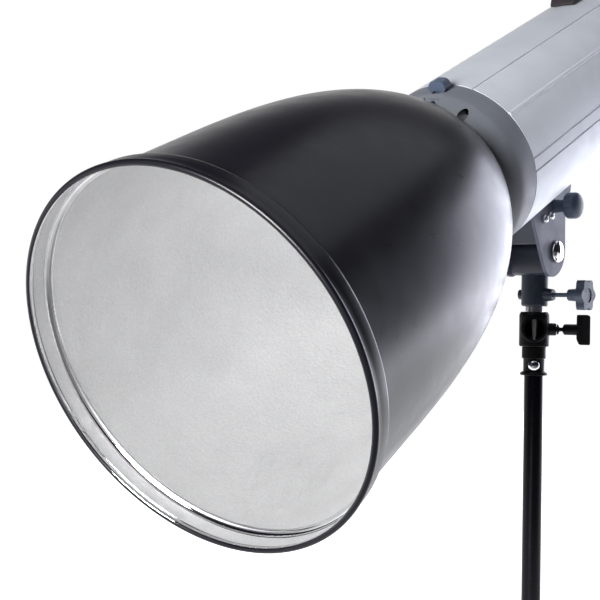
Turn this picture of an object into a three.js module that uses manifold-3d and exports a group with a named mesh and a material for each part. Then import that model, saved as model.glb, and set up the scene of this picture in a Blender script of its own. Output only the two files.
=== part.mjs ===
// Studio monolight flash head with a long-focus reflector, on its tilt bracket and the top of a
// light stand.  Millimetres, +Z up, the reflector's mouth faces -Y and dips below the horizon.
// The origin is the lower end of the stand's riser tube, on the tube's axis.
//
// Two frames are nested in the model.  The "head" frame has its origin on the tilt axis, with +Y
// running back along the lamp and +Z square to it.  The "lamp" frame lies inside it with its Y
// axis on the lamp's own axis, and Y = 0 at the reflector's mouth, so a Y there is the distance
// behind the mouth.
import * as THREE from "three";
import { mergeVertices } from "three/addons/utils/BufferGeometryUtils.js";
import Module from "manifold-3d";

const wasm = await Module();
wasm.setup();

// ---------------------------------------------------------------- driving dimensions
const GAP = 0.3; // clearance between pieces that bear on each other

const TILT_DEG = 25.05; // how far the lamp points below the horizon
const PIVOT = { y: -2, z: 358.5 }; // tilt axis, parallel to X
const MOUTH_BEHIND = -475.6; // mouth plane, along the lamp from the pivot
const AXIS_RISE = 120.8; // lamp axis above the pivot

const MOUTH_R = 140; // reflector's rolled lip, outside
const SHELL_T = 1.6; // spun sheet
const RECESS_DEPTH = 19; // grid recess in the mouth
const NECK_S = 325.6; // where the bowl turns in to its mounting flange

const HOUSING_R = 73.6;
const HOUSING_T = 2.8;
const COLLAR_FRONT = 331;
const COLLAR_BACK = 370;
const HOUSING_BACK = 706;
const CAP_BACK = 734;
const PANEL_BACK = 727.7;

const CHEEK_IN = 19.3; // bracket cheeks, inner and outer faces
const CHEEK_OUT = 22.3;
const BLOCK_TOP = 46.8; // umbrella block, just under the housing
const CLAMP = { y: 13.9, z: 39.5 }; // umbrella clamp screw, in the head frame

const SPIGOT_Z = 302.8; // shoulder of the spigot on the stand's collar
const SOCKET_Z = 307.6; // lower rim of the swivel socket
const STAR_Z = 318.5; // star knob's axis
const COLLAR_Z = 270.2; // lower face of the stand collar
const WINDOW_Z = 286.4; // round window and T screw
const SLEEVE_Z = 243.4; // lower face of the sleeve's flange
const RISER_R = 8.8;
const STAND_TURN_DEG = 26.7; // the stand's top fitting is turned this far round the riser

// ---------------------------------------------------------------- small helpers
const rad = THREE.MathUtils.degToRad;

// Moves and turns a geometry, and hands it back.
function place(geometry, x, y, z, rx = 0, ry = 0, rz = 0) {
  const turn = new THREE.Euler(rad(rx), rad(ry), rad(rz));
  geometry.applyMatrix4(new THREE.Matrix4().makeRotationFromEuler(turn));
  return geometry.translate(x, y, z);
}

function box(x0, x1, y0, y1, z0, z1) {
  const g = new THREE.BoxGeometry(x1 - x0, y1 - y0, z1 - z0);
  return g.translate((x0 + x1) / 2, (y0 + y1) / 2, (z0 + z1) / 2);
}

// Solid of revolution about Y.  Points are [radius, y]; a ring's outline closes on itself.
function latheY(points, sides) {
  const closed = points[0][0] > 0.001 || points[points.length - 1][0] > 0.001;
  const outline = closed ? [...points, points[0]] : points;
  let area = 0;
  outline.forEach((p, i) => {
    const q = outline[(i + 1) % outline.length];
    area += p[0] * q[1] - q[0] * p[1];
  });
  const ordered = area < 0 ? [...outline].reverse() : outline;
  return new THREE.LatheGeometry(ordered.map((p) => new THREE.Vector2(p[0], p[1])), sides);
}

function latheX(points, sides) {
  return place(latheY(points, sides), 0, 0, 0, 0, 0, -90);
}

function latheZ(points, sides) {
  return place(latheY(points, sides), 0, 0, 0, 90, 0, 0);
}

function rodX(r, x0, x1, sides = 20) {
  return latheX([[0, x0], [r, x0], [r, x1], [0, x1]], sides);
}

function rodY(r, y0, y1, sides = 20) {
  return latheY([[0, y0], [r, y0], [r, y1], [0, y1]], sides);
}

function rodZ(r, z0, z1, sides = 20) {
  return latheZ([[0, z0], [r, z0], [r, z1], [0, z1]], sides);
}

function outlineShape(points) {
  return new THREE.Shape(points.map((p) => new THREE.Vector2(p[0], p[1])));
}

// Outline in (x, z), drawn out along Y.
function extrudeY(shape, y0, y1) {
  const g = new THREE.ExtrudeGeometry(shape, { depth: y1 - y0, bevelEnabled: false, steps: 1 });
  return place(g, 0, y1, 0, 90, 0, 0);
}

// Outline in (y, z), drawn out along X.
function extrudeX(shape, x0, x1) {
  const g = new THREE.ExtrudeGeometry(shape, { depth: x1 - x0, bevelEnabled: false, steps: 1 });
  const basis = new THREE.Matrix4().makeBasis(
    new THREE.Vector3(0, 1, 0),
    new THREE.Vector3(0, 0, 1),
    new THREE.Vector3(1, 0, 0),
  );
  return g.applyMatrix4(basis).translate(x0, 0, 0);
}

function toSolid(geometry) {
  const g = geometry.clone();
  g.deleteAttribute("normal");
  g.deleteAttribute("uv");
  const merged = mergeVertices(g, 1e-4);
  const mesh = new wasm.Mesh({
    numProp: 3,
    vertProperties: Float32Array.from(merged.attributes.position.array),
    triVerts: Uint32Array.from(merged.index.array),
  });
  return new wasm.Manifold(mesh);
}

function toGeometry(solid) {
  const mesh = solid.getMesh();
  const g = new THREE.BufferGeometry();
  g.setAttribute("position", new THREE.BufferAttribute(Float32Array.from(mesh.vertProperties), 3));
  g.setIndex(new THREE.BufferAttribute(Uint32Array.from(mesh.triVerts), 1));
  g.computeVertexNormals();
  return g;
}

// Joins the first list of geometries and cuts the second list out of the result.
function carve(joined, cuts = []) {
  let solid = toSolid(joined[0]);
  for (const g of joined.slice(1)) {
    solid = solid.add(toSolid(g));
  }
  for (const g of cuts) {
    solid = solid.subtract(toSolid(g));
  }
  return toGeometry(solid);
}

// ---------------------------------------------------------------- finishes
const FINISH = {
  blackSatin: [0x24242a, 0.42, 0.1],
  silver: [0xc9c9c9, 0.35, 0.9],
  greyPlastic: [0x5a5d62, 0.55, 0.0],
  housingBlue: [0xc3cbd8, 0.45, 0.35],
  bracketBlue: [0xbfc4d6, 0.5, 0.3],
  slateBlue: [0x46506a, 0.5, 0.3],
  knobBlue: [0x4d5a76, 0.45, 0.0],
  chrome: [0xd8d8dc, 0.15, 1.0],
  steel: [0x9a9ca0, 0.35, 0.9],
  black: [0x141416, 0.5, 0.0],
  glass: [0xe8f0f2, 0.05, 0.0],
  ceramic: [0xeae6dc, 0.6, 0.0],
  board: [0x1f5a38, 0.6, 0.0],
  capacitorBlue: [0x27324f, 0.4, 0.2],
  copper: [0x8a5a34, 0.5, 0.6],
  red: [0xa02820, 0.4, 0.0],
};

function piece(name, geometry, finish, parent) {
  const [color, roughness, metalness] = FINISH[finish];
  const material = new THREE.MeshStandardMaterial({ color, roughness, metalness });
  const mesh = new THREE.Mesh(geometry, material);
  mesh.name = name;
  parent.add(mesh);
  return mesh;
}

// ---------------------------------------------------------------- reflector
// Outside of the bowl, [distance behind the mouth, radius].
const BOWL = [
  [22, 134.6], [64, 132], [109, 129.5], [149, 126.4], [186, 121.6], [218, 115.4], [247, 107.3],
  [273, 97.5], [299.6, 84.2], [NECK_S, 66.2],
];

function reflectorShell() {
  const wallR = MOUTH_R - 1.5;
  const outside = [
    [MOUTH_R - 3.2, 0], [MOUTH_R - 0.8, 0.6], [MOUTH_R, 2.6], [MOUTH_R - 0.4, 5.2],
    [wallR, 6.6], [wallR, RECESS_DEPTH - 2],
  ];
  for (const [s, r] of BOWL) {
    outside.push([r, s]);
  }
  outside.push([60.5, NECK_S + 3.2], [50, NECK_S + 3.2]);
  const inside = [[50, NECK_S + 1.6], [59.8, NECK_S + 1.6]];
  for (const [s, r] of [...BOWL].reverse()) {
    inside.push([r - SHELL_T, s]);
  }
  inside.push(
    [133, RECESS_DEPTH], [wallR - SHELL_T, RECESS_DEPTH], [wallR - SHELL_T, 5.6],
    [MOUTH_R - 4.2, 4.6], [MOUTH_R - 4.6, 1.6],
  );
  return latheY([...outside, ...inside], 44);
}

// Ring that carries the reflector's three bayonet lugs.
function bayonetRing() {
  const front = NECK_S + 3.2 + GAP;
  const ring = latheY([[47, front], [52, front], [52, 341], [47, 341]], 28);
  const lugs = [90, 210, 330].map((deg) => {
    const lug = box(50.5, 61.5, 335.4, 338.6, -9, 9);
    return place(lug, 0, 0, 0, 0, -deg, 0);
  });
  return carve([ring, ...lugs]);
}

// ---------------------------------------------------------------- front collar
const RELEASE_DEG = 82; // where the release slider sits, up from +X towards +Z
const SCREW_DEGS = [56, 124, 236, 304];
const SCREW_R = 67;

function frontCollar() {
  const ring = latheY([
    [57.5, COLLAR_FRONT], [64, COLLAR_FRONT + 1.2], [69.3, COLLAR_FRONT + 5.4],
    [72.4, COLLAR_FRONT + 11.5], [HOUSING_R, COLLAR_FRONT + 18], [HOUSING_R, COLLAR_BACK],
    [68.6, COLLAR_BACK], [68.6, 358], [63, 358], [63, 335], [57.5, 335],
  ], 44);
  const cuts = [];
  // The lugs enter through three gaps in the front rim, a part turn away from where they lock.
  for (const deg of [114, 234, 354]) {
    cuts.push(place(box(54, 62.9, 329, 336, -11.5, 11.5), 0, 0, 0, 0, -deg, 0));
  }
  for (const deg of SCREW_DEGS) {
    cuts.push(place(rodY(4.3, 325, 350, 14), ...polar(SCREW_R, deg)));
    cuts.push(place(rodY(2.4, 325, 366, 8), ...polar(SCREW_R, deg)));
  }
  // Window in the front face for the lock pin, and the slot that its slider runs in.
  cuts.push(place(box(62, 70.5, 328, 341, -7, 7), 0, 0, 0, 0, -RELEASE_DEG, 0));
  cuts.push(place(box(60, 80, 346, 363, -3.4, 3.4), 0, 0, 0, 0, -RELEASE_DEG, 0));
  cuts.push(place(rodY(2.7, 338, 352, 12), ...polar(66, RELEASE_DEG)));
  return carve([ring], cuts);
}

function polar(r, deg, y = 0) {
  return [r * Math.cos(rad(deg)), y, r * Math.sin(rad(deg))];
}

function collarScrew(deg) {
  const head = rodY(3.7, 345.5, 349.6, 12);
  const socket = rodY(1.7, 343, 347.6, 6);
  const geometry = carve([head, rodY(2, 349, 362.5, 8)], [socket]);
  return place(geometry, ...polar(SCREW_R, deg));
}

function releaseSlider() {
  const cap = outlineShape([
    [-7.8, 0], [7.8, 0], [7.6, 4.6], [4.6, 8.2], [-4.6, 8.2], [-7.6, 4.6],
  ]);
  const knob = place(extrudeY(cap, 349, 360), 0, 0, HOUSING_R + 0.4);
  const stem = box(-2.9, 2.9, 352, 357.3, 63.6, HOUSING_R + 1.5);
  return place(carve([knob, stem]), 0, 0, 0, 0, -(RELEASE_DEG - 90), 0);
}

function releasePin() {
  return place(rodY(2.2, 339.6, 351.6, 14), ...polar(66, RELEASE_DEG));
}

// ---------------------------------------------------------------- lamp and flash tube
function frontPlate() {
  const plate = rodY(68.2, 358.4, 361, 40);
  const cuts = SCREW_DEGS.map((deg) => place(rodY(2.6, 355, 365, 12), ...polar(SCREW_R, deg)));
  cuts.push(rodY(14.4, 355, 365, 24));
  cuts.push(place(box(56, 72, 355, 365, -4.4, 4.4), 0, 0, 0, 0, -RELEASE_DEG, 0));
  return carve([plate], cuts);
}

function glassDome() {
  // Round-nosed plug with its flat end at y = rim.
  const nosed = (r, depth, rim) => {
    const points = [[0, rim], [r, rim], [r, 318]];
    for (let i = 1; i < 5; i += 1) {
      points.push([r * Math.cos(rad(18 * i)), 318 - depth * Math.sin(rad(18 * i))]);
    }
    return latheY([...points, [0, 318 - depth]], 22);
  };
  return carve([nosed(43, 38, 357.9)], [nosed(41, 36, 363)]);
}

function flashTube() {
  const points = [];
  const ringR = 32;
  points.push(new THREE.Vector3(ringR * Math.cos(rad(-75)), 348, ringR * Math.sin(rad(-75))));
  points.push(new THREE.Vector3(ringR * Math.cos(rad(-75)), 330, ringR * Math.sin(rad(-75))));
  for (let deg = -68; deg <= 248; deg += 15.8) {
    points.push(new THREE.Vector3(ringR * Math.cos(rad(deg)), 318, ringR * Math.sin(rad(deg))));
  }
  points.push(new THREE.Vector3(ringR * Math.cos(rad(255)), 330, ringR * Math.sin(rad(255))));
  points.push(new THREE.Vector3(ringR * Math.cos(rad(255)), 348, ringR * Math.sin(rad(255))));
  const path = new THREE.CatmullRomCurve3(points, false, "centripetal");
  const section = new THREE.Shape();
  section.absarc(0, 0, 3.6, 0, Math.PI * 2, false);
  return new THREE.ExtrudeGeometry(section, {
    steps: 34,
    curveSegments: 3,
    bevelEnabled: false,
    extrudePath: path,
  });
}

function tubeBase() {
  return latheY([[15.4, 350], [38, 350], [38, 358.1], [15.4, 358.1]], 30);
}

function lampBulb() {
  return latheY([
    [0, 288], [6, 289], [11, 292.5], [13.5, 298], [14, 304], [12.8, 310], [10.6, 317], [10, 322],
    [0, 322],
  ], 20);
}

function lampCap() {
  return latheY([
    [0, 322.3], [12, 322.3], [12.6, 325], [11.6, 327], [12.6, 329], [11.6, 331], [12.6, 333],
    [11.4, 335], [11.4, 339], [0, 342],
  ], 20);
}

function lampHolder() {
  const body = latheY([[0, 346], [14, 346], [14, 375], [9, 380], [0, 380]], 18);
  const throat = latheY([
    [13, 324.6], [15, 324.6], [15, 349.6], [10, 349.6], [10, 343.5], [13, 343.5],
  ], 18);
  return carve([body, throat]);
}

// ---------------------------------------------------------------- housing
// Extruded tube with long grooves on both sides.
const GROOVES = [
  { deg: 65, depth: 1.1 }, { deg: 36, depth: -1 }, { deg: 3.6, depth: 1 }, { deg: -5, depth: 1 },
];

function housingOutline() {
  const outline = [];
  const marks = [];
  for (const { deg, depth } of GROOVES) {
    marks.push({ deg: (deg + 360) % 360, depth });
    marks.push({ deg: (180 - deg + 360) % 360, depth });
  }
  const stops = [];
  for (let deg = 0; deg < 360; deg += 5) {
    if (marks.every((m) => Math.abs(m.deg - deg) > 1.3)) {
      stops.push([deg, HOUSING_R]);
    }
  }
  for (const { deg, depth } of marks) {
    stops.push([deg - 0.9, HOUSING_R], [deg, HOUSING_R - depth], [deg + 0.9, HOUSING_R]);
  }
  stops.sort((a, b) => a[0] - b[0]);
  for (const [deg, r] of stops) {
    outline.push([r * Math.cos(rad(deg)), r * Math.sin(rad(deg))]);
  }
  return outline;
}

function housingShell() {
  const shape = outlineShape(housingOutline());
  const bore = [];
  for (let deg = 0; deg < 360; deg += 7.5) {
    const r = HOUSING_R - HOUSING_T;
    bore.push(new THREE.Vector2(r * Math.cos(rad(deg)), r * Math.sin(rad(deg))));
  }
  shape.holes.push(new THREE.Path(bore));
  return extrudeY(shape, COLLAR_BACK + GAP, HOUSING_BACK);
}

function chassisTray() {
  const channel = outlineShape([
    [-46, 22], [-46, -48], [46, -48], [46, 22], [44.4, 22], [44.4, -46.4], [-44.4, -46.4],
    [-44.4, 22],
  ]);
  return extrudeY(channel, 384, 700);
}

function storageCapacitor(x) {
  const can = latheY([
    [0, 402], [18.5, 402], [21, 404], [21, 508], [18.5, 510], [0, 510],
  ], 24);
  return place(can, x, 0, -25);
}

function transformer() {
  const core = box(-28, 28, 540, 592, -46, -2);
  const winding = box(-20, 20, 532, 600, -40, -8);
  return carve([core, winding]);
}

function controlBoard() {
  return box(-43, 43, 396, 640, 23, 24.6);
}

function fanFrame() {
  const frame = box(-20, 20, 708.5, 719.5, -29, 11);
  return carve([frame], [place(rodY(18.3, 700, 725, 28), 0, 0, -9)]);
}

function fanRotor() {
  const hub = rodY(7, 710, 718, 18);
  const blades = [];
  for (let i = 0; i < 7; i += 1) {
    const blade = place(box(5, 16.8, -0.7, 0.7, -4, 4), 0, 714, 0, 40, 0, 0);
    blades.push(blade);
    blade.applyMatrix4(new THREE.Matrix4().makeRotationY((i * 2 * Math.PI) / 7));
  }
  return place(carve([hub, ...blades]), 0, 0, -9);
}

// Moulded ring that closes the housing's rear edge and stands a little proud of the panel.
function rearCap() {
  return latheY([
    [HOUSING_R, HOUSING_BACK + GAP], [HOUSING_R, 724], [72.4, 729.6], [69, 733.2],
    [66.5, CAP_BACK], [64, CAP_BACK], [64, 728], [69, 728], [69, HOUSING_BACK + GAP],
  ], 44);
}

const FRONT_OF_PANEL = 724.4;
const DISPLAY = { x: 0, z: 40, w: 36, h: 17 };
const DIALS = [{ name: "power_dial", x: 33, z: 17 }, { name: "modelling_dial", x: -33, z: 17 }];
const BUTTONS = [
  { name: "test_button", x: 12, z: 21.5 },
  { name: "slave_button", x: -12, z: 21.5 },
];

function rearPanel() {
  const cuts = [];
  cuts.push(box(-16.5, 16.5, 720, 730, 32.8, 47.2));
  for (const dial of DIALS) {
    cuts.push(place(rodY(3.4, 720, 730, 10), dial.x, 0, dial.z));
  }
  for (const button of BUTTONS) {
    cuts.push(place(rodY(4.3, 720, 730, 12), button.x, 0, button.z));
  }
  cuts.push(place(rodY(3, 720, 730, 14), 0, 0, 55.5));
  cuts.push(place(rodY(1.9, 720, 730, 12), 0, 0, 24.5));
  cuts.push(place(rodY(3.6, 720, 730, 14), -46, 0, -12));
  cuts.push(place(rodY(5.6, 720, 730, 16), 46, 0, -12));
  cuts.push(box(18.6, 33.4, 720, 730, -50.4, -31.6));
  cuts.push(box(-27.4, 3.4, 720, 730, -54.4, -31.6));
  for (let i = 0; i < 5; i += 1) {
    const z = -9 + (i - 2) * 6;
    const half = Math.sqrt(16.5 ** 2 - (z + 9) ** 2);
    cuts.push(box(-half, half, 720, 730, z - 1.6, z + 1.6));
  }
  return carve([rodY(68.6, FRONT_OF_PANEL, PANEL_BACK, 40)], cuts);
}

function displayWindow() {
  const lens = box(-18, 18, PANEL_BACK + GAP, 729.6, 31.5, 48.5);
  return carve([lens, box(-16.1, 16.1, 722, 729, 33.2, 46.8)]);
}

function dial({ x, z }) {
  const skirt = latheY([
    [0, PANEL_BACK + GAP], [11.5, PANEL_BACK + GAP], [11.5, 730], [9.4, 731], [8.9, 740],
    [7.6, 741.2], [0, 741.2],
  ], 18);
  const pointer = box(-0.7, 0.7, 739, 743, 2, 9.6);
  const shaft = rodY(3, 716, 729, 14);
  return place(carve([skirt, shaft], [pointer]), x, 0, z);
}

function pushButton({ x, z }) {
  const cap = latheY([[0, 719], [4, 719], [4, 730], [3.4, 730.9], [0, 731.3]], 18);
  return place(cap, x, 0, z);
}

function readyLamp() {
  return place(latheY([[0, 722], [1.5, 722], [1.5, 728.4], [0, 729.4]], 12), 0, 0, 24.5);
}

function sensorDome() {
  const flange = rodY(5.2, PANEL_BACK + GAP, 729.4, 20);
  const dome = latheY([
    [0, 722], [2.6, 722], [2.6, 729], [4.4, 729], [4, 732], [2.6, 734.2], [0, 735.2],
  ], 20);
  return place(carve([flange, dome]), 0, 0, 55.5);
}

function syncJack() {
  const nut = rodY(6.2, PANEL_BACK + GAP, 729.8, 6);
  const barrel = rodY(3.2, 712, 731, 16);
  return place(carve([nut, barrel], [rodY(1.8, 716, 733, 12)]), -46, 0, -12);
}

function fuseCap() {
  const head = latheY([
    [0, PANEL_BACK + GAP], [7.4, PANEL_BACK + GAP], [7.4, 733], [6.6, 734.2], [0, 734.2],
  ], 20);
  const barrel = rodY(5.2, 700, 729, 16);
  const slot = box(-5, 5, 732.6, 736, -0.8, 0.8);
  return place(carve([head, barrel], [slot]), 46, 0, -12);
}

const ROCKER = { x: 26, y: 727, z: -41 }; // hinge line of the mains rocker

function rockerFrame() {
  const rim = box(17, 35, PANEL_BACK + GAP, 730, -52.5, -29.5);
  const body = box(19, 33, 714, 729, -50, -32);
  return carve([rim, body], [box(20.4, 31.6, 719, 733, -48.8, -33.2)]);
}

function mainsRocker() {
  const paddle = outlineShape([[-5.5, -6], [4.6, -6.3], [2.4, 0], [1.4, 6.3], [-5.5, 6]]);
  const geometry = extrudeX(paddle, -5, 5);
  return place(geometry, ROCKER.x, ROCKER.y, ROCKER.z);
}

// Three-pin inlet, open towards the back.
function mainsInlet() {
  const rim = box(-29.5, 5.5, PANEL_BACK + GAP, 730, -56, -30);
  const body = box(-27, 3, 702, 729, -54, -32);
  const well = box(-24.5, 0.5, 709, 733, -51, -35);
  let whole = toSolid(rim).add(toSolid(body)).subtract(toSolid(well));
  for (const [x, z] of [[-18, -41], [-12, -45], [-6, -41]]) {
    whole = whole.add(toSolid(box(x - 1, x + 1, 707, 724, z - 2, z + 2)));
  }
  return toGeometry(whole);
}

function carryHandle() {
  const arch = outlineShape([
    [622, 74], [642, 74], [646, 80], [651, 88], [658, 91.5], [680, 91.5], [688, 88],
    [692, 80], [694, 74], [708, 74], [706, 92], [700, 102], [690, 106.5], [663, 106.5],
    [650, 102.5], [638, 93.5], [628, 81],
  ]);
  return extrudeX(arch, -12, 12);
}

// ---------------------------------------------------------------- tilt bracket
const CHEEK_OUTLINE = [
  [-31.3, 49.2], [-27.6, -4], [-24, -12.5], [-17, -18.5], [-8, -20.8], [2, -19.8],
  [10.8, -15.6], [17, -8.7], [28.3, 17.1], [33, 26], [41, 34.5], [52, 41], [56, 49.2],
];
const CHEEK_SCREWS = [[-9.7, 36.5], [2.4, 34.6]];

function cheek(side) {
  const plate = extrudeX(outlineShape(CHEEK_OUTLINE), CHEEK_IN, CHEEK_OUT);
  const cuts = [rodX(5.4, 15, 30, 20)];
  cuts.push(place(rodX(4.4, 15, 30, 18), 0, CLAMP.y, CLAMP.z));
  for (const [y, z] of CHEEK_SCREWS) {
    cuts.push(place(rodX(2.4, 15, 30, 12), 0, y, z));
  }
  const geometry = carve([plate], cuts);
  return side > 0 ? geometry : place(geometry, -CHEEK_IN - CHEEK_OUT, 0, 0);
}

function cheekScrew(side, y, z) {
  const screw = latheX([
    [0, 12], [2, 12], [2, CHEEK_OUT + 0.6], [4.1, CHEEK_OUT + GAP], [4, CHEEK_OUT + 1.5],
    [2.6, CHEEK_OUT + 2.7], [0, CHEEK_OUT + 3.1],
  ], 12);
  return place(screw, 0, y, z, 0, 0, side > 0 ? 0 : 180);
}

// Block under the housing: holds both cheeks and the bore for an umbrella's shaft.
function umbrellaBlock() {
  const outline = outlineShape([
    [-30, BLOCK_TOP], [-26.8, 17.6], [26, 17.6], [34, 28], [46, 36], [51, BLOCK_TOP],
  ]);
  const cuts = [place(rodY(4.5, -40, 60, 20), 0, 0, CLAMP.z)];
  cuts.push(place(rodX(3.4, 2, 25, 16), 0, CLAMP.y, CLAMP.z));
  for (const side of [-1, 1]) {
    for (const [y, z] of CHEEK_SCREWS) {
      cuts.push(place(rodX(2.4, side > 0 ? 11.6 : -25, side > 0 ? 25 : -11.6, 12), 0, y, z));
    }
  }
  return carve([extrudeX(outline, -19, 19)], cuts);
}

function umbrellaKnob() {
  const knob = latheX([
    [0, 5.2], [3, 5.2], [3, 22.8], [6, 22.8], [6, 35], [11.2, 35.4], [12, 36.6], [12, 43.4],
    [10.6, 46], [7, 47.8], [0, 48.4],
  ], 18);
  return place(knob, 0, CLAMP.y, CLAMP.z);
}

function pivotBolt() {
  return latheX([
    [0, -32.4], [5, -32.4], [5, CHEEK_OUT + 0.8], [10.3, CHEEK_OUT + 0.4],
    [10.2, CHEEK_OUT + 1.6], [8.4, CHEEK_OUT + 3.4], [5, CHEEK_OUT + 4.6], [0, CHEEK_OUT + 5],
  ], 22);
}

function frictionWasher(side) {
  const washer = latheX([[5.4, 16.4], [14.6, 16.4], [14.6, 19], [5.4, 19]], 20);
  return side > 0 ? washer : place(washer, -35.4, 0, 0);
}

const LEVER_DEG = 180; // tilt lever points along the lamp, towards the mouth, when locked

function tiltLever() {
  const hub = latheX([
    [0, -38], [7.4, -38], [9, -36.6], [9, -22.8], [0, -22.8],
  ], 24);
  const arm = outlineShape([
    [4, -5], [40, -4.2], [56, -6], [61, -4], [63, 0], [61, 4], [56, 6], [40, 4.2], [4, 5],
  ]);
  const bore = rodX(5.4, -32.8, -20, 20);
  const geometry = carve([hub, extrudeX(arm, -36.6, -27)], [bore]);
  return place(geometry, 0, 0, 0, LEVER_DEG, 0, 0);
}

// ---------------------------------------------------------------- swivel socket
function swivelSocket() {
  const py = PIVOT.y;
  const pz = PIVOT.z;
  const outline = [];
  for (let deg = -10; deg <= 190; deg += 20) {
    outline.push([py + 16.4 * Math.cos(rad(deg)), pz + 16.4 * Math.sin(rad(deg))]);
  }
  outline.push([py - 16.2, pz - 13], [py - 12.5, pz - 20], [py - 9, pz - 22]);
  outline.push([py + 13, pz - 22], [py + 16.2, pz - 18]);
  const block = extrudeX(outlineShape(outline), -16.1, 16.1);
  const socket = latheZ([
    [0, SOCKET_Z], [11, SOCKET_Z], [12.4, SOCKET_Z + 1.5], [12.4, pz - 19], [0, pz - 19],
  ], 22);
  const boss = place(latheX([[0, 4], [6.2, 4], [5.2, 19.2], [0, 19.2]], 14), 0, 0, STAR_Z);
  const plug = place(rodX(4.6, -15.4, -4, 12), 0, 0, STAR_Z);
  const cuts = [
    place(rodX(5.4, -30, 30, 16), 0, py, pz),
    rodZ(8.4, 300, 334, 20),
    place(rodX(2.4, 0, 30, 10), 0, 0, STAR_Z),
  ];
  return carve([block, socket, boss, plug], cuts);
}

function starKnob() {
  const lobes = [];
  for (let i = 0; i < 30; i += 1) {
    const a = (i / 30) * Math.PI * 2;
    const r = 13.4 + 1.7 * Math.cos(6 * a);
    lobes.push([r * Math.cos(a), r * Math.sin(a)]);
  }
  const head = extrudeX(outlineShape(lobes), 46, 54);
  const stem = latheX([
    [0, 8.4], [2, 8.4], [2, 34.6], [5.2, 34.6], [6.4, 46.4], [0, 46.4],
  ], 20);
  return place(carve([head, stem]), 0, 0, STAR_Z);
}

// ---------------------------------------------------------------- top of the stand
function spigot() {
  return latheZ([
    [0, 271], [7.9, 271], [7.9, 275.4], [5, 277], [5, 296], [7.9, 297.6], [7.9, SPIGOT_Z],
    [9.1, SPIGOT_Z + 0.1], [9.1, 304.4], [8.5, 304.8], [9.1, 305.2], [9.1, 307.2], [8, 307.4],
    [8, 331], [7, 332.4], [0, 332.4],
  ], 20);
}

function standCollar() {
  const barrel = latheZ([
    [0, COLLAR_Z], [13.2, COLLAR_Z], [14, COLLAR_Z + 0.8], [14, 300.6], [12.6, 302.5],
    [0, 302.5],
  ], 24);
  const ring = latheY([[0, -14.8], [11.2, -14.8], [12.2, -13.8], [12.2, 0], [0, 0]], 24);
  place(ring, 0, 0, WINDOW_Z);
  const boss = place(latheX([[0, 4], [5.8, 4], [5.6, 20.2], [0, 20.2]], 14), 0, 0, WINDOW_Z);
  const cuts = [
    rodZ(8.3, 265, 310, 20),
    place(rodY(9.4, -20, 0, 20), 0, 0, WINDOW_Z),
    place(rodX(2.9, 0, 25, 10), 0, 0, WINDOW_Z),
  ];
  return carve([barrel, ring, boss], cuts);
}

// Screw with a neck and a cross bar; its point bears on the spigot's neck.
function crossBarScrew() {
  const stem = latheX([
    [0, 5.4], [2.4, 5.4], [2.4, 20.6], [4.6, 20.6], [4.6, 22], [1.9, 23.4], [1.9, 25.6],
    [5.1, 27.4], [5.1, 40], [0, 40],
  ], 18);
  const bar = outlineShape([
    [38.6, -9], [41, -14], [51, -14], [51, 12.6], [49, 14], [38.8, 14],
  ]);
  const g = new THREE.ExtrudeGeometry(bar, { depth: 8.4, bevelEnabled: false, steps: 1 });
  const blade = place(g, 0, 4.2, 0, 90, 0, 0);
  return place(carve([stem, blade]), 0, 0, WINDOW_Z);
}

function topSleeve() {
  const body = latheZ([
    [0, 214], [7.2, 214], [7.3, SLEEVE_Z], [12.6, SLEEVE_Z], [12.6, 246.2], [9.8, 246.8],
    [9.8, 258.8], [11.2, 259.4], [11.2, 269.9], [0, 269.9],
  ], 24);
  return carve([body], [place(rodY(5.6, -20, -3.4, 16), 0, 0, 252.7)]);
}

function snapButton() {
  const button = latheY([
    [0, -6.4], [5.2, -6.4], [5.2, -10.4], [4.6, -11.8], [2.8, -12.8], [0, -13.2],
  ], 16);
  return place(button, 0, 0, 252.7);
}

function riserTube() {
  return latheZ([[RISER_R, 3.3], [RISER_R, 243.1], [7.6, 243.1], [7.6, 3.3]], 24);
}

function riserEndPlug() {
  return latheZ([[0, 0], [8.6, 0], [8.8, 0.4], [8.8, 3], [7.3, 3], [7.2, 18], [0, 18]], 24);
}

// ---------------------------------------------------------------- assembly
const model = new THREE.Group();

const stand = new THREE.Group();
stand.rotation.z = rad(STAND_TURN_DEG);
model.add(stand);
piece("riser_tube", riserTube(), "black", stand);
piece("riser_end_plug", riserEndPlug(), "black", stand);
piece("top_sleeve", topSleeve(), "black", stand);
piece("snap_button", snapButton(), "chrome", stand);
piece("stand_collar", standCollar(), "black", stand);
piece("spigot", spigot(), "chrome", stand);
piece("cross_bar_screw", crossBarScrew(), "black", stand);

piece("swivel_socket", swivelSocket(), "slateBlue", model);
piece("star_knob", starKnob(), "knobBlue", model);

const head = new THREE.Group();
head.position.set(0, PIVOT.y, PIVOT.z);
head.rotation.x = rad(TILT_DEG);
model.add(head);
for (const [side, tag] of [[1, "right"], [-1, "left"]]) {
  piece(`bracket_cheek_${tag}`, cheek(side), "bracketBlue", head);
  piece(`friction_washer_${tag}`, frictionWasher(side), "black", head);
  CHEEK_SCREWS.forEach(([y, z], i) => {
    piece(`cheek_screw_${tag}_${i + 1}`, cheekScrew(side, y, z), "steel", head);
  });
}
piece("umbrella_block", umbrellaBlock(), "slateBlue", head);
piece("umbrella_clamp_knob", umbrellaKnob(), "knobBlue", head);
piece("pivot_bolt", pivotBolt(), "chrome", head);
piece("tilt_lock_lever", tiltLever(), "black", head);

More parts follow.
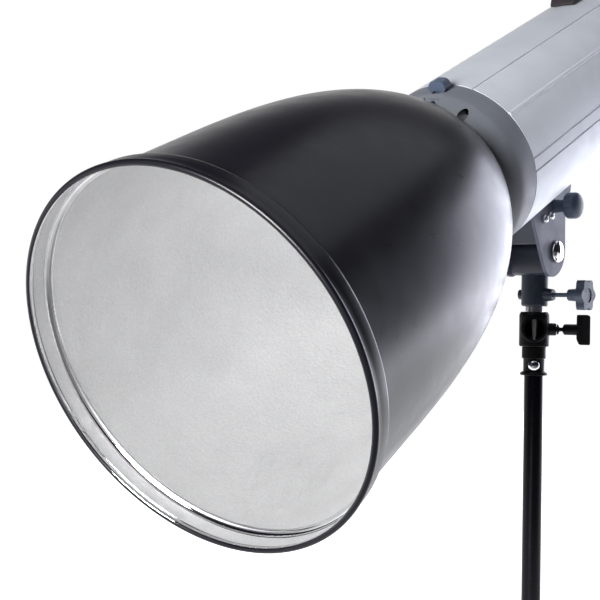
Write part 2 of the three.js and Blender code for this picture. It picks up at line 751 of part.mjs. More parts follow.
const lamp = new THREE.Group();
lamp.position.set(0, MOUTH_BEHIND, AXIS_RISE);
head.add(lamp);
piece("reflector_shell", reflectorShell(), "blackSatin", lamp);
piece("reflector_bayonet_ring", bayonetRing(), "silver", lamp);
piece("front_collar", frontCollar(), "greyPlastic", lamp);
SCREW_DEGS.forEach((deg, i) => {
  piece(`collar_screw_${i + 1}`, collarScrew(deg), "steel", lamp);
});
piece("release_slider", releaseSlider(), "greyPlastic", lamp);
piece("release_pin", releasePin(), "steel", lamp);
piece("front_plate", frontPlate(), "steel", lamp);
piece("glass_dome", glassDome(), "glass", lamp);
piece("flash_tube", flashTube(), "glass", lamp);
piece("flash_tube_base", tubeBase(), "ceramic", lamp);
piece("modelling_bulb", lampBulb(), "glass", lamp);
piece("modelling_bulb_cap", lampCap(), "steel", lamp);
piece("lamp_holder", lampHolder(), "ceramic", lamp);
piece("housing_shell", housingShell(), "housingBlue", lamp);
piece("chassis_tray", chassisTray(), "steel", lamp);
piece("storage_capacitor_1", storageCapacitor(22.4), "capacitorBlue", lamp);
piece("storage_capacitor_2", storageCapacitor(-22.4), "capacitorBlue", lamp);
piece("transformer", transformer(), "copper", lamp);
piece("control_board", controlBoard(), "board", lamp);
piece("fan_frame", fanFrame(), "black", lamp);
piece("fan_rotor", fanRotor(), "black", lamp);
piece("rear_cap", rearCap(), "greyPlastic", lamp);
piece("rear_panel", rearPanel(), "greyPlastic", lamp);
piece("display_window", displayWindow(), "black", lamp);
for (const item of DIALS) {
  piece(item.name, dial(item), "black", lamp);
}
for (const item of BUTTONS) {
  piece(item.name, pushButton(item), "black", lamp);
}
piece("ready_lamp", readyLamp(), "red", lamp);
piece("slave_sensor_dome", sensorDome(), "red", lamp);
piece("sync_jack", syncJack(), "steel", lamp);
piece("fuse_cap", fuseCap(), "black", lamp);
piece("rocker_frame", rockerFrame(), "black", lamp);
piece("mains_rocker", mainsRocker(), "black", lamp);
piece("mains_inlet", mainsInlet(), "black", lamp);
piece("carry_handle", carryHandle(), "black", lamp);

export default model;
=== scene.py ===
"""Studio flash head with a long-focus reflector: the looks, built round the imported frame.

Lengths in this script are millimetres until place() turns them into metres in the row frame.
"""

import math

import bmesh
import bpy
from mathutils import Matrix, Vector


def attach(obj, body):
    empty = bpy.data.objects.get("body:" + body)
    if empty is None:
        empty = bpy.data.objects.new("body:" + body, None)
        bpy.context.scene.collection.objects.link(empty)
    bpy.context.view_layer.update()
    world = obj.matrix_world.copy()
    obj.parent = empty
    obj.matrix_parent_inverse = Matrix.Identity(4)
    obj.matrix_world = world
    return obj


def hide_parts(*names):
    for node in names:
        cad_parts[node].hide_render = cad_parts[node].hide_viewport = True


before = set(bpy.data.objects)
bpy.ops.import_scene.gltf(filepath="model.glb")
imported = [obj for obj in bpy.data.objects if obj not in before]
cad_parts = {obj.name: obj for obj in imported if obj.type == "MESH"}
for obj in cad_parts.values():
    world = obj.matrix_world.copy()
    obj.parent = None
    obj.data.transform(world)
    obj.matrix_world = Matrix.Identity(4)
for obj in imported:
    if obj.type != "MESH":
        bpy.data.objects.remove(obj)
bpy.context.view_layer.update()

# ---------------------------------------------------------------- frames, as in the CAD
TILT = math.radians(25.05)
STAND_TURN = math.radians(26.7)
PIVOT_Y, PIVOT_Z = -2.0, 358.5
MOUTH_Y, MOUTH_Z = -475.6, 120.8
MM = Matrix.Scale(0.001, 4)
ROW = Matrix.Identity(4)
HEAD = Matrix.Translation((0, PIVOT_Y, PIVOT_Z)) @ Matrix.Rotation(TILT, 4, "X")
LAMP = HEAD @ Matrix.Translation((0, MOUTH_Y, MOUTH_Z))
STAND = Matrix.Rotation(STAND_TURN, 4, "Z")

HOUSING_R = 73.6
COLLAR_BACK = 370.0
HOUSING_BACK = 706.0
PANEL_BACK = 727.7
CHEEK_IN, CHEEK_OUT = 19.3, 22.3
WASHER_IN, WASHER_OUT = 16.4, 19.0
LEVER_DEG = 180
CLAMP_Y, CLAMP_Z = 13.9, 39.5
STAR_Z = 318.5
WINDOW_Z = 286.4
SNAP_Z = 252.7
FAN_Z = -9
PIVOT_HOLE_R = 5.4
SCREW_DEGS = (56, 124, 236, 304)
SCREW_R = 67.0
RELEASE_DEG = 82.0
RELEASE_PIN_R = 66


def rot(deg, axis):
    return Matrix.Rotation(math.radians(deg), 4, axis)


def shift(x=0.0, y=0.0, z=0.0):
    return Matrix.Translation((x, y, z))


def polar(r, deg):
    a = math.radians(deg)
    return shift(r * math.cos(a), 0, r * math.sin(a))


AXIS = {"Y": Matrix.Identity(4), "X": rot(-90, "Z"), "Z": rot(90, "X")}


# ---------------------------------------------------------------- mesh code
def mesh_object(name, verts, faces, slots=None):
    mesh = bpy.data.meshes.new(name)
    mesh.from_pydata([tuple(v) for v in verts], [], faces)
    if slots:
        mesh.polygons.foreach_set("material_index", slots)
    bm = bmesh.new()
    bm.from_mesh(mesh)
    bmesh.ops.remove_doubles(bm, verts=bm.verts, dist=1e-5)
    bmesh.ops.recalc_face_normals(bm, faces=bm.faces)
    bm.to_mesh(mesh)
    bm.free()
    ob = bpy.data.objects.new(name, mesh)
    bpy.context.scene.collection.objects.link(ob)
    return ob


def lathe(points, sides=96, axis="Y", slots=None):
    """Solid of revolution.  points are (radius, distance along the axis)."""
    on_axis = points[0][0] < 1e-6 and points[-1][0] < 1e-6
    n = len(points)
    verts, faces, index = [], [], []
    for i in range(sides):
        a = 2 * math.pi * i / sides
        for r, y in points:
            verts.append((r * math.cos(a), y, r * math.sin(a)))
    spans = n - 1 if on_axis else n
    for i in range(sides):
        j = (i + 1) % sides
        for k in range(spans):
            m = (k + 1) % n
            a, b, c, d = i * n + k, i * n + m, j * n + m, j * n + k
            if points[k][0] < 1e-6:
                faces.append((a, b, c))
            elif points[m][0] < 1e-6:
                faces.append((a, b, d))
            else:
                faces.append((a, b, c, d))
            index.append(slots[k] if slots else 0)
    ob = mesh_object("lathe", verts, faces, index)
    ob.data.transform(AXIS[axis])
    return ob


def rod(r, a, b, sides=48, axis="Y"):
    return lathe([(0, a), (r, a), (r, b), (0, b)], sides, axis)


def prism(outline, a, b, axis="X"):
    """Outline drawn out from a to b: in (y, z) along X, in (x, z) along Y, in (x, y) along Z."""
    n = len(outline)
    verts = []
    for d in (a, b):
        for u, v in outline:
            verts.append({"X": (d, u, v), "Y": (u, d, v), "Z": (u, v, d)}[axis])
    faces = [tuple(range(n)), tuple(range(n, 2 * n))]
    faces += [(i, (i + 1) % n, n + (i + 1) % n, n + i) for i in range(n)]
    return mesh_object("prism", verts, faces)


def box(x0, x1, y0, y1, z0, z1):
    return prism([(x0, y0), (x1, y0), (x1, y1), (x0, y1)], z0, z1, "Z")


def move(ob, matrix):
    ob.data.transform(matrix)
    return ob


def bake(ob):
    """Applies the object's modifiers to its mesh."""
    graph = bpy.context.evaluated_depsgraph_get()
    graph.update()
    mesh = bpy.data.meshes.new_from_object(ob.evaluated_get(graph))
    old = ob.data
    ob.modifiers.clear()
    ob.data = mesh
    bpy.data.meshes.remove(old)
    return ob


def boolean(ob, others, operation):
    for other in others:
        mod = ob.modifiers.new("bool", "BOOLEAN")
        mod.operation, mod.solver, mod.object = operation, "EXACT", other
        other.hide_render = True
    bake(ob)
    for other in others:
        bpy.data.objects.remove(other)
    return ob


def join(ob, *others):
    return boolean(ob, others, "UNION")


def cut(ob, *others):
    return boolean(ob, others, "DIFFERENCE")


def rounded(outline, radius, steps=4):
    """Outline with each corner rounded off."""
    out = []
    n = len(outline)
    for i, p in enumerate(outline):
        p = Vector(p)
        a, b = Vector(outline[i - 1]), Vector(outline[(i + 1) % n])
        ra = min(radius, (a - p).length * 0.45)
        rb = min(radius, (b - p).length * 0.45)
        start, end = p + (a - p).normalized() * ra, p + (b - p).normalized() * rb
        for k in range(steps + 1):
            t = k / steps
            out.append(tuple(start * (1 - t) ** 2 + p * 2 * t * (1 - t) + end * t * t))
    return out


def place(ob, name, body, matrix, material, nodes=(), bevel=0.0, segments=2, smooth=32):
    """Finishes a piece: metres, bevelled edges, smooth shading, material, body and CAD node."""
    ob.name = name
    ob.data.name = name
    ob.data.transform(MM @ matrix)
    if bevel:
        mod = ob.modifiers.new("bevel", "BEVEL")
        mod.width, mod.segments = bevel * 0.001, segments
        mod.limit_method, mod.angle_limit = "ANGLE", math.radians(35)
        mod.use_clamp_overlap = True
        bake(ob)
    mesh = ob.data
    mesh.polygons.foreach_set("use_smooth", [True] * len(mesh.polygons))
    mesh.set_sharp_from_angle(angle=math.radians(smooth))
    slots = [face.material_index for face in mesh.polygons]
    mesh.materials.clear()
    for one in material if isinstance(material, (list, tuple)) else [material]:
        mesh.materials.append(one)
    mesh.polygons.foreach_set("material_index", slots)
    if bevel:
        flat = ob.modifiers.new("flat_faces", "WEIGHTED_NORMAL")
        flat.keep_sharp = True
    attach(ob, body)
    if nodes:
        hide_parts(*([nodes] if isinstance(nodes, str) else nodes))
    return ob


# ---------------------------------------------------------------- materials
WEAR_WIDTH = 0.0006  # metres of edge that rubs bare


def material(name):
    mat = bpy.data.materials.new(name)
    mat.use_nodes = True
    tree = mat.node_tree
    shader = tree.nodes["Principled BSDF"]
    coords = tree.nodes.new("ShaderNodeTexCoord").outputs["Object"]
    return mat, tree, shader, coords


def noise(tree, coords, scale, detail=4.0, rough=0.55):
    node = tree.nodes.new("ShaderNodeTexNoise")
    node.inputs["Scale"].default_value = scale
    node.inputs["Detail"].default_value = detail
    node.inputs["Roughness"].default_value = rough
    tree.links.new(coords, node.inputs["Vector"])
    return node.outputs["Fac"]


def ramp(tree, value, stops):
    node = tree.nodes.new("ShaderNodeValToRGB")
    tree.links.new(value, node.inputs["Fac"])
    band = node.color_ramp
    while len(band.elements) < len(stops):
        band.elements.new(0.5)
    for element, (pos, colour) in zip(band.elements, stops):
        element.position = pos
        element.color = (*colour, 1) if len(colour) == 3 else colour
    return node.outputs["Color"]


def mix(tree, factor, a, b, kind="MIX"):
    node = tree.nodes.new("ShaderNodeMix")
    node.data_type, node.blend_type = "RGBA", kind
    for socket, value in ((node.inputs[0], factor), (node.inputs[6], a), (node.inputs[7], b)):
        if isinstance(value, bpy.types.NodeSocket):
            tree.links.new(value, socket)
        elif isinstance(value, (int, float)):
            socket.default_value = value
        else:
            socket.default_value = (*value, 1)
    return node.outputs[2]


def grey(v):
    return (v, v, v)


def scaled(colour, k):
    return tuple(min(1.0, c * k) for c in colour)


def bump(tree, shader, heights):
    """heights are (value, distance in metres, strength), stacked."""
    last = None
    for value, distance, strength in heights:
        node = tree.nodes.new("ShaderNodeBump")
        node.inputs["Distance"].default_value = distance
        node.inputs["Strength"].default_value = strength
        tree.links.new(value, node.inputs["Height"])
        if last:
            tree.links.new(last, node.inputs["Normal"])
        last = node.outputs["Normal"]
    tree.links.new(last, shader.inputs["Normal"])


def edge_mask(tree, size):
    """White along worn edges, black elsewhere."""
    bevel = tree.nodes.new("ShaderNodeBevel")
    bevel.samples = 4
    bevel.inputs["Radius"].default_value = size
    geometry = tree.nodes.new("ShaderNodeNewGeometry")
    dot = tree.nodes.new("ShaderNodeVectorMath")
    dot.operation = "DOT_PRODUCT"
    tree.links.new(bevel.outputs["Normal"], dot.inputs[0])
    tree.links.new(geometry.outputs["Normal"], dot.inputs[1])
    return ramp(tree, dot.outputs["Value"], [(0.65, grey(1)), (0.98, grey(0))])


def finish_of(name, colour, rough, metallic=0.0, grain=(900, 0.00008, 0.25), patch=0.12,
              rough_var=0.08, coat=0.0, specular=0.5, wear=None, wear_amount=0.5):
    """General finish: patchy colour, uneven gloss, grain and, where asked, worn edges."""
    mat, tree, shader, coords = material(name)
    cloud = noise(tree, coords, 28.0, 5.0)
    speck = noise(tree, coords, 1400.0, 2.0)
    base = ramp(tree, cloud, [(0.3, scaled(colour, 1 - patch)), (0.7, scaled(colour, 1 + patch))])
    base = mix(tree, 0.12, base, ramp(tree, speck, [(0.35, scaled(colour, 0.7)),
                                                    (0.65, scaled(colour, 1.35))]))
    if wear:
        scuff = ramp(tree, noise(tree, coords, 160.0, 6.0), [(0.45, grey(0)), (0.62, grey(1))])
        mask = mix(tree, 1.0, edge_mask(tree, WEAR_WIDTH), scuff, "MULTIPLY")
        part = mix(tree, wear_amount, grey(0), mask)
        base = mix(tree, part, base, wear)
    tree.links.new(base, shader.inputs["Base Color"])
    gloss = noise(tree, coords, 60.0, 6.0)
    tree.links.new(ramp(tree, gloss, [(0.3, grey(max(0.02, rough - rough_var))),
                                      (0.7, grey(min(1, rough + rough_var)))]),
                   shader.inputs["Roughness"])
    scale, distance, strength = grain
    bump(tree, shader, [(noise(tree, coords, scale, 3.0), distance, strength)])
    shader.inputs["Metallic"].default_value = metallic
    shader.inputs["Coat Weight"].default_value = coat
    shader.inputs["Coat Roughness"].default_value = 0.12
    shader.inputs["Specular IOR Level"].default_value = specular
    return mat


def brushed(name, colour, rough, stretch):
    """Metal with fine turned or drawn lines; stretch scales the noise along each axis."""
    mat, tree, shader, coords = material(name)
    mapping = tree.nodes.new("ShaderNodeMapping")
    mapping.inputs["Scale"].default_value = stretch
    tree.links.new(coords, mapping.inputs["Vector"])
    lines = noise(tree, mapping.outputs["Vector"], 1.0, 6.0, 0.7)
    cloud = noise(tree, coords, 45.0, 4.0)
    base = mix(tree, 0.5,
               ramp(tree, lines, [(0.3, scaled(colour, 0.82)), (0.7, scaled(colour, 1.1))]),
               ramp(tree, cloud, [(0.3, scaled(colour, 0.92)), (0.7, scaled(colour, 1.05))]))
    tree.links.new(base, shader.inputs["Base Color"])
    tree.links.new(ramp(tree, lines, [(0.3, grey(rough * 0.75)), (0.7, grey(rough * 1.3))]),
                   shader.inputs["Roughness"])
    bump(tree, shader, [(lines, 0.00004, 0.3)])
    shader.inputs["Metallic"].default_value = 1.0
    return mat


def pebbled_silver():
    """Inside of the reflector: anodised aluminium with a fine hammered grain."""
    mat, tree, shader, coords = material("pebbled_silver")
    cells = tree.nodes.new("ShaderNodeTexVoronoi")
    cells.feature = "SMOOTH_F1"
    cells.inputs["Scale"].default_value = 420.0
    cells.inputs["Smoothness"].default_value = 0.8
    tree.links.new(coords, cells.inputs["Vector"])
    cloud = noise(tree, coords, 22.0, 5.0)
    speck = noise(tree, coords, 700.0, 3.0)
    base = ramp(tree, cloud, [(0.3, (0.74, 0.74, 0.745)), (0.7, (0.82, 0.82, 0.825))])
    base = mix(tree, 0.25, base, ramp(tree, speck, [(0.35, grey(0.62)), (0.65, grey(0.93))]))
    tree.links.new(base, shader.inputs["Base Color"])
    gloss = noise(tree, coords, 90.0, 4.0)
    tree.links.new(ramp(tree, gloss, [(0.3, grey(0.46)), (0.7, grey(0.58))]),
                   shader.inputs["Roughness"])
    bump(tree, shader, [(cells.outputs["Distance"], 0.0006, 0.35), (speck, 0.00025, 0.3)])
    shader.inputs["Metallic"].default_value = 0.85
    return mat


def clear_glass(name, colour=(0.95, 0.98, 0.98), rough=0.03, frost=0.0):
    mat, tree, shader, coords = material(name)
    cloud = noise(tree, coords, 60.0, 3.0)
    tree.links.new(ramp(tree, cloud, [(0.3, scaled(colour, 0.96)), (0.7, colour)]),
                   shader.inputs["Base Color"])
    tree.links.new(ramp(tree, noise(tree, coords, 120.0, 4.0),
                        [(0.3, grey(rough + frost)), (0.7, grey(rough + frost + 0.05))]),
                   shader.inputs["Roughness"])
    bump(tree, shader, [(cloud, 0.00005, 0.1)])
    shader.inputs["Transmission Weight"].default_value = 1.0
    shader.inputs["IOR"].default_value = 1.46
    return mat


def glowing(name, colour, strength):
    mat, tree, shader, coords = material(name)
    cloud = noise(tree, coords, 200.0, 3.0)
    base = ramp(tree, cloud, [(0.3, scaled(colour, 0.8)), (0.7, colour)])
    tree.links.new(base, shader.inputs["Base Color"])
    tree.links.new(base, shader.inputs["Emission Color"])
    shader.inputs["Emission Strength"].default_value = strength
    shader.inputs["Roughness"].default_value = 0.25
    bump(tree, shader, [(noise(tree, coords, 900.0, 2.0), 0.00003, 0.2)])
    return mat


M = {
    "black_satin": finish_of("satin_black_enamel", (0.0055, 0.0053, 0.0085), 0.3, 0.0,
                             grain=(650, 0.00005, 0.2), patch=0.2, rough_var=0.03, specular=0.42),
    "silver_inside": pebbled_silver(),
    "rim_silver": brushed("turned_rim", (0.78, 0.78, 0.79), 0.28, (40, 40, 40)),
    "polished": brushed("spun_edge_silver", (0.85, 0.85, 0.86), 0.07, (60, 60, 60)),
    "grey_plastic": finish_of("dark_grey_moulding", (0.19, 0.205, 0.235), 0.5, 0.0,
                              grain=(1500, 0.00012, 0.4), patch=0.1, wear=(0.25, 0.26, 0.28)),
    "housing": finish_of("pale_blue_housing", (0.7, 0.735, 0.805), 0.45, 0.05,
                         grain=(1100, 0.00007, 0.28), patch=0.05, rough_var=0.05,
                         wear=(0.7, 0.72, 0.76), wear_amount=0.5),
    "bracket": finish_of("lavender_bracket_paint", (0.11, 0.12, 0.17), 0.45, 0.05,
                         grain=(1200, 0.0001, 0.3), patch=0.08, wear=(0.5, 0.5, 0.56)),
    "slate": finish_of("slate_casting", (0.022, 0.03, 0.045), 0.42, 0.05,
                       grain=(700, 0.0002, 0.35), patch=0.15, wear=(0.4, 0.43, 0.5)),
    "knob": finish_of("slate_blue_knob", (0.06, 0.08, 0.125), 0.42, 0.0,
                      grain=(1600, 0.00012, 0.35), patch=0.1, wear=(0.4, 0.44, 0.52)),
    "chrome": brushed("polished_chrome", (0.86, 0.86, 0.88), 0.07, (120, 120, 120)),
    "steel": brushed("plated_steel", (0.6, 0.61, 0.63), 0.24, (300, 300, 60)),
    "black": finish_of("black_moulding", (0.005, 0.005, 0.006), 0.4, 0.0, specular=0.14,
                       grain=(1300, 0.00014, 0.4), patch=0.2, wear=(0.08, 0.08, 0.09)),
    "tube": finish_of("black_anodised_tube", (0.003, 0.003, 0.005), 0.24, 0.0, specular=0.12,
                      grain=(500, 0.00003, 0.2), patch=0.2, rough_var=0.05,
                      wear=(0.3, 0.3, 0.32)),
    "rubber": finish_of("soft_black_rubber", (0.022, 0.017, 0.019), 0.62, 0.0,
                        grain=(1800, 0.0002, 0.45), patch=0.15, specular=0.35),
    "ceramic": finish_of("white_ceramic", (0.74, 0.71, 0.64), 0.3, 0.0,
                         grain=(400, 0.00008, 0.2), patch=0.06, coat=0.3),
    "board": finish_of("green_laminate", (0.015, 0.11, 0.045), 0.4, 0.0,
                       grain=(800, 0.0001, 0.3), patch=0.2),
    "sleeve": finish_of("capacitor_sleeve", (0.02, 0.03, 0.09), 0.3, 0.0,
                        grain=(300, 0.00015, 0.3), patch=0.15, coat=0.4),
    "copper": brushed("varnished_copper", (0.55, 0.25, 0.1), 0.35, (30, 900, 900)),
    "red": finish_of("red_lens", (0.42, 0.02, 0.015), 0.12, 0.0,
                     grain=(300, 0.00004, 0.2), patch=0.1, coat=0.6),
    "white_print": finish_of("printed_white", (0.72, 0.72, 0.7), 0.5, 0.0,
                             grain=(2500, 0.00002, 0.2), patch=0.05),
    "glass": clear_glass("clear_glass"),
    "frosted": clear_glass("frosted_glass", (0.93, 0.93, 0.9), 0.03, 0.35),
    "screen": finish_of("smoked_screen", (0.01, 0.012, 0.014), 0.08, 0.0,
                        grain=(200, 0.00002, 0.15), patch=0.1, coat=0.8),
    "digits": glowing("display_digits", (0.95, 0.25, 0.06), 1.2),
}

# ---------------------------------------------------------------- reflector
MOUTH_R = 140.0
SHELL_T = 1.6
CURVE = [Vector((0, 136.9)), Vector((91.5, 125.3)), Vector((234, 140.1)), Vector((325.6, 66.2))]


def bowl(t):
    """Outside of the bowl: (distance behind the mouth, radius) along its generating curve."""
    u = 1 - t
    return (CURVE[0] * u ** 3 + CURVE[1] * 3 * u * u * t + CURVE[2] * 3 * u * t * t
            + CURVE[3] * t ** 3)


def arc(cx, cy, r, a0, a1, n):
    """Points (x, y) round a centre, from angle a0 to a1 in degrees."""
    return [(cx + r * math.cos(math.radians(a0 + (a1 - a0) * i / n)),
             cy + r * math.sin(math.radians(a0 + (a1 - a0) * i / n))) for i in range(n + 1)]


def reflector_shell():
    wall = MOUTH_R - 1.5
    points, slots = [], []

    def add(new, slot):
        for p in new:
            points.append(p)
            slots.append(slot)

    lip = arc(MOUTH_R - 2.3, 2.3, 2.3, -180, 60, 16)
    add(lip[:3], 2)
    add(lip[3:], 0)
    add([(wall, 5.4), (wall, 9), (wall, 16), (wall - 0.4, 17.4), (wall - 1.6, 18.6),
         (135.2, 20.2), (134.7, 21.6)], 0)
    steps = 52
    start = 0.075
    for i in range(steps + 1):
        s, r = bowl(start + (1 - start) * i / steps)
        add([(r, s)], 0)
    add([(64.8, 327.4), (62.4, 328.6), (59, 328.8), (50, 328.8)], 0)
    add([(50, 327.2), (58.6, 327.2), (61.4, 326.6), (63.4, 325.2)], 1)
    for i in range(steps, -1, -1):
        s, r = bowl(start + (1 - start) * i / steps)
        add([(r - SHELL_T, s)], 1)
    add([(132.9, 20.6), (132.9, 19.7), (133.15, 19.15)], 2)
    add(arc(133.9, 15.95, 3.0, 90, 0, 12), 2)
    add([(wall - SHELL_T, 15.6), (wall - SHELL_T, 10), (wall - SHELL_T, 6.6)], 1)
    add([(wall - SHELL_T, 5.6), (MOUTH_R - 4.0, 4.4)], 2)
    return lathe(points, 224, "Y", slots)


place(reflector_shell(), "reflector_spun_bowl", "reflector", LAMP,
      [M["black_satin"], M["silver_inside"], M["polished"]], "reflector_shell",
      smooth=50)

ring = lathe([(47, 329.3), (52, 329.3), (52, 341), (47, 341)], 96)
lugs = [move(box(50.5, 61.5, 335.4, 338.6, -9, 9), rot(-d, "Y")) for d in (90, 210, 330)]
place(join(ring, *lugs), "reflector_lug_ring", "reflector", LAMP, M["rim_silver"],
      "reflector_bayonet_ring", bevel=0.5)

# ---------------------------------------------------------------- front collar
profile = [(57.5, 331.6), (58.2, 331), (61, 331.2), (64, 332.3), (67.4, 335.2), (70, 338.6),
           (71.9, 342.4), (72.7, 344.6), (73.2, 347), (HOUSING_R, 353), (HOUSING_R, 362),
           (HOUSING_R, 369), (73, 369.9), (68.6, 369.9), (68.6, 358), (63, 358), (63, 335),
           (57.5, 335)]
collar = lathe(profile, 144)
cutters = [move(box(54, 62.9, 329, 336, -11.5, 11.5), rot(-d, "Y")) for d in (114, 234, 354)]
for d in SCREW_DEGS:
    cutters.append(move(rod(3.95, 325, 350, 40), polar(SCREW_R, d)))
    cutters.append(move(rod(2.4, 325, 366, 20), polar(SCREW_R, d)))
turn = rot(-RELEASE_DEG, "Y")
cutters.append(move(box(62, 70.5, 328, 341, -7, 7), turn))
cutters.append(move(box(60, 80, 346, 363, -3.4, 3.4), turn))
cutters.append(move(rod(2.7, 338, 352, 24), polar(RELEASE_PIN_R, RELEASE_DEG)))
place(cut(collar, *cutters), "front_collar_moulding", "head", LAMP, M["grey_plastic"],
      "front_collar", bevel=0.45, segments=3)

for i, d in enumerate(SCREW_DEGS):
    head = lathe([(0, 345.5), (3.3, 345.5), (3.7, 345.9), (3.7, 349.6), (0, 349.6)], 36)
    socket = rod(1.7, 343, 347.8, 6)
    screw = cut(join(head, rod(2, 349, 362.5, 24)), socket)
    place(move(screw, polar(SCREW_R, d)), f"collar_socket_screw_{i + 1}", "head", LAMP,
          M["black"], f"collar_screw_{i + 1}", bevel=0.12)

cap = rounded([(-7.8, 0), (7.8, 0), (7.6, 4.6), (4.2, 8.4), (-4.2, 8.4), (-7.6, 4.6)], 2.2)
knob = move(prism(cap, 349, 360, "Y"), shift(0, 0, HOUSING_R + 0.4))
ribs = [box(-8, 8, y, y + 0.9, HOUSING_R + 8.3, HOUSING_R + 11) for y in (350.6, 352.8, 355, 357.2)]
knob = cut(knob, *ribs)
knob = join(knob, box(-2.9, 2.9, 352, 357.3, 63.6, HOUSING_R + 1.5))
place(move(knob, rot(90 - RELEASE_DEG, "Y")), "release_thumb_slider", "release", LAMP,
      M["knob"], "release_slider", bevel=0.5, segments=3)
place(move(lathe([(0, 339.6), (1.4, 339.6), (2.2, 340.6), (2.2, 351.6), (0, 351.6)], 32),
           polar(RELEASE_PIN_R, RELEASE_DEG)), "release_lock_pin", "release", LAMP, M["steel"],
      "release_pin")

# ---------------------------------------------------------------- lamp inside the reflector's neck
plate = rod(68.2, 358.4, 361, 128)
holes = [move(rod(2.6, 355, 365, 20), polar(SCREW_R, d)) for d in SCREW_DEGS]
holes += [rod(14.4, 355, 365, 48), move(box(56, 72, 355, 365, -4.4, 4.4), turn)]
place(cut(plate, *holes), "front_plate_disc", "head", LAMP, M["rim_silver"], "front_plate",
      bevel=0.3)

DOME_R, DOME_RISE, DOME_T = 43, 38, 2
NOSE_START, DOME_SEAT = 318, 357.9


def nose(radius, rise, degrees):
    """Points (radius, distance behind the mouth) round the dome's nose."""
    return [(radius * math.cos(math.radians(a)), NOSE_START - rise * math.sin(math.radians(a)))
            for a in degrees]


dome = [(DOME_R, DOME_SEAT), (DOME_R, 322)]
dome += nose(DOME_R, DOME_RISE, range(0, 90, 6)) + [(0, NOSE_START - DOME_RISE)]
bore_r = DOME_R - DOME_T
hollow = [(0, NOSE_START - DOME_RISE + DOME_T)]
hollow += nose(bore_r, DOME_RISE - DOME_T, range(84, -1, -6))
hollow += [(bore_r, 322), (bore_r, DOME_SEAT), (bore_r, 362), (0, 362)]
outer = lathe([(0, DOME_SEAT)] + dome, 96)
inner = lathe(hollow, 96)
place(cut(outer, inner), "glass_dome_shell", "head", LAMP, M["glass"], "glass_dome")


def swept_tube(points, radius, sides=16, per=6):
    """Round bar along a smooth curve through the points."""
    path = []
    n = len(points)
    for i in range(n - 1):
        p0, p1 = Vector(points[max(i - 1, 0)]), Vector(points[i])
        p2, p3 = Vector(points[i + 1]), Vector(points[min(i + 2, n - 1)])
        for k in range(per):
            t = k / per
            path.append(0.5 * (2 * p1 + (p2 - p0) * t + (2 * p0 - 5 * p1 + 4 * p2 - p3) * t * t
                               + (3 * p1 - p0 - 3 * p2 + p3) * t ** 3))
    path.append(Vector(points[-1]))
    verts, faces = [], []
    side = None
    for i, p in enumerate(path):
        ahead = (path[min(i + 1, len(path) - 1)] - path[max(i - 1, 0)]).normalized()
        if side is None:
            side = ahead.orthogonal().normalized()
        side = (side - ahead * side.dot(ahead)).normalized()
        up = ahead.cross(side)
        for k in range(sides):
            a = 2 * math.pi * k / sides
            verts.append(p + (side * math.cos(a) + up * math.sin(a)) * radius)
    for i in range(len(path) - 1):
        for k in range(sides):
            m = (k + 1) % sides
            faces.append((i * sides + k, i * sides + m, (i + 1) * sides + m, (i + 1) * sides + k))
    faces.append(tuple(range(sides)))
    faces.append(tuple(range((len(path) - 1) * sides, len(path) * sides)))
    return mesh_object("tube", verts, faces)


def on_ring(deg, y, r=32.0):
    return (r * math.cos(math.radians(deg)), y, r * math.sin(math.radians(deg)))


route = [on_ring(-75, 348), on_ring(-75, 338), on_ring(-75, 328), on_ring(-71, 320)]
route += [on_ring(d, 318) for d in range(-64, 246, 10)]
route += [on_ring(251, 320), on_ring(255, 328), on_ring(255, 338), on_ring(255, 348)]
place(swept_tube(route, 3.6), "flash_tube_ring", "head", LAMP, M["frosted"], "flash_tube")
place(lathe([(15.4, 350), (37, 350), (38, 351), (38, 358.1), (15.4, 358.1)], 96),
      "flash_tube_ceramic", "head", LAMP, M["ceramic"], "flash_tube_base", bevel=0.4)
bulb = [(0, 288), (3, 288.2), (6, 289), (9, 290.7), (11.4, 293), (13, 296), (13.9, 300),
        (14, 304), (13.4, 308), (12.2, 312), (11, 316), (10.2, 319.5), (10, 322), (0, 322)]
place(lathe(bulb, 64), "modelling_bulb_glass", "head", LAMP, M["frosted"], "modelling_bulb")
thread = [(0, 322.3), (12, 322.3)]
for k in range(3):
    thread += [(12.7, 324.4 + 3.6 * k), (12.7, 325.2 + 3.6 * k), (11.5, 326.6 + 3.6 * k),
               (11.5, 327 + 3.6 * k)]
thread += [(11.4, 339), (6, 341), (0, 342)]
place(lathe(thread, 64), "modelling_bulb_screw_cap", "head", LAMP, M["rim_silver"],
      "modelling_bulb_cap")
holder = lathe([(0, 346), (10, 346), (10, 349.6), (14, 349.6), (14, 375), (9, 380), (0, 380)], 64)
throat = lathe([(13, 324.6), (15, 324.6), (15, 349.8), (9.8, 349.8), (9.8, 343.5), (13, 343.5)], 64)
place(join(holder, throat), "lamp_holder_ceramic", "head", LAMP, M["ceramic"], "lamp_holder",
      bevel=0.3)

# ---------------------------------------------------------------- housing
GROOVES = ((65, 1.1, 0.75), (36, -1.0, 1.5), (3.6, 0.9, 0.75), (-5, 0.9, 0.75))


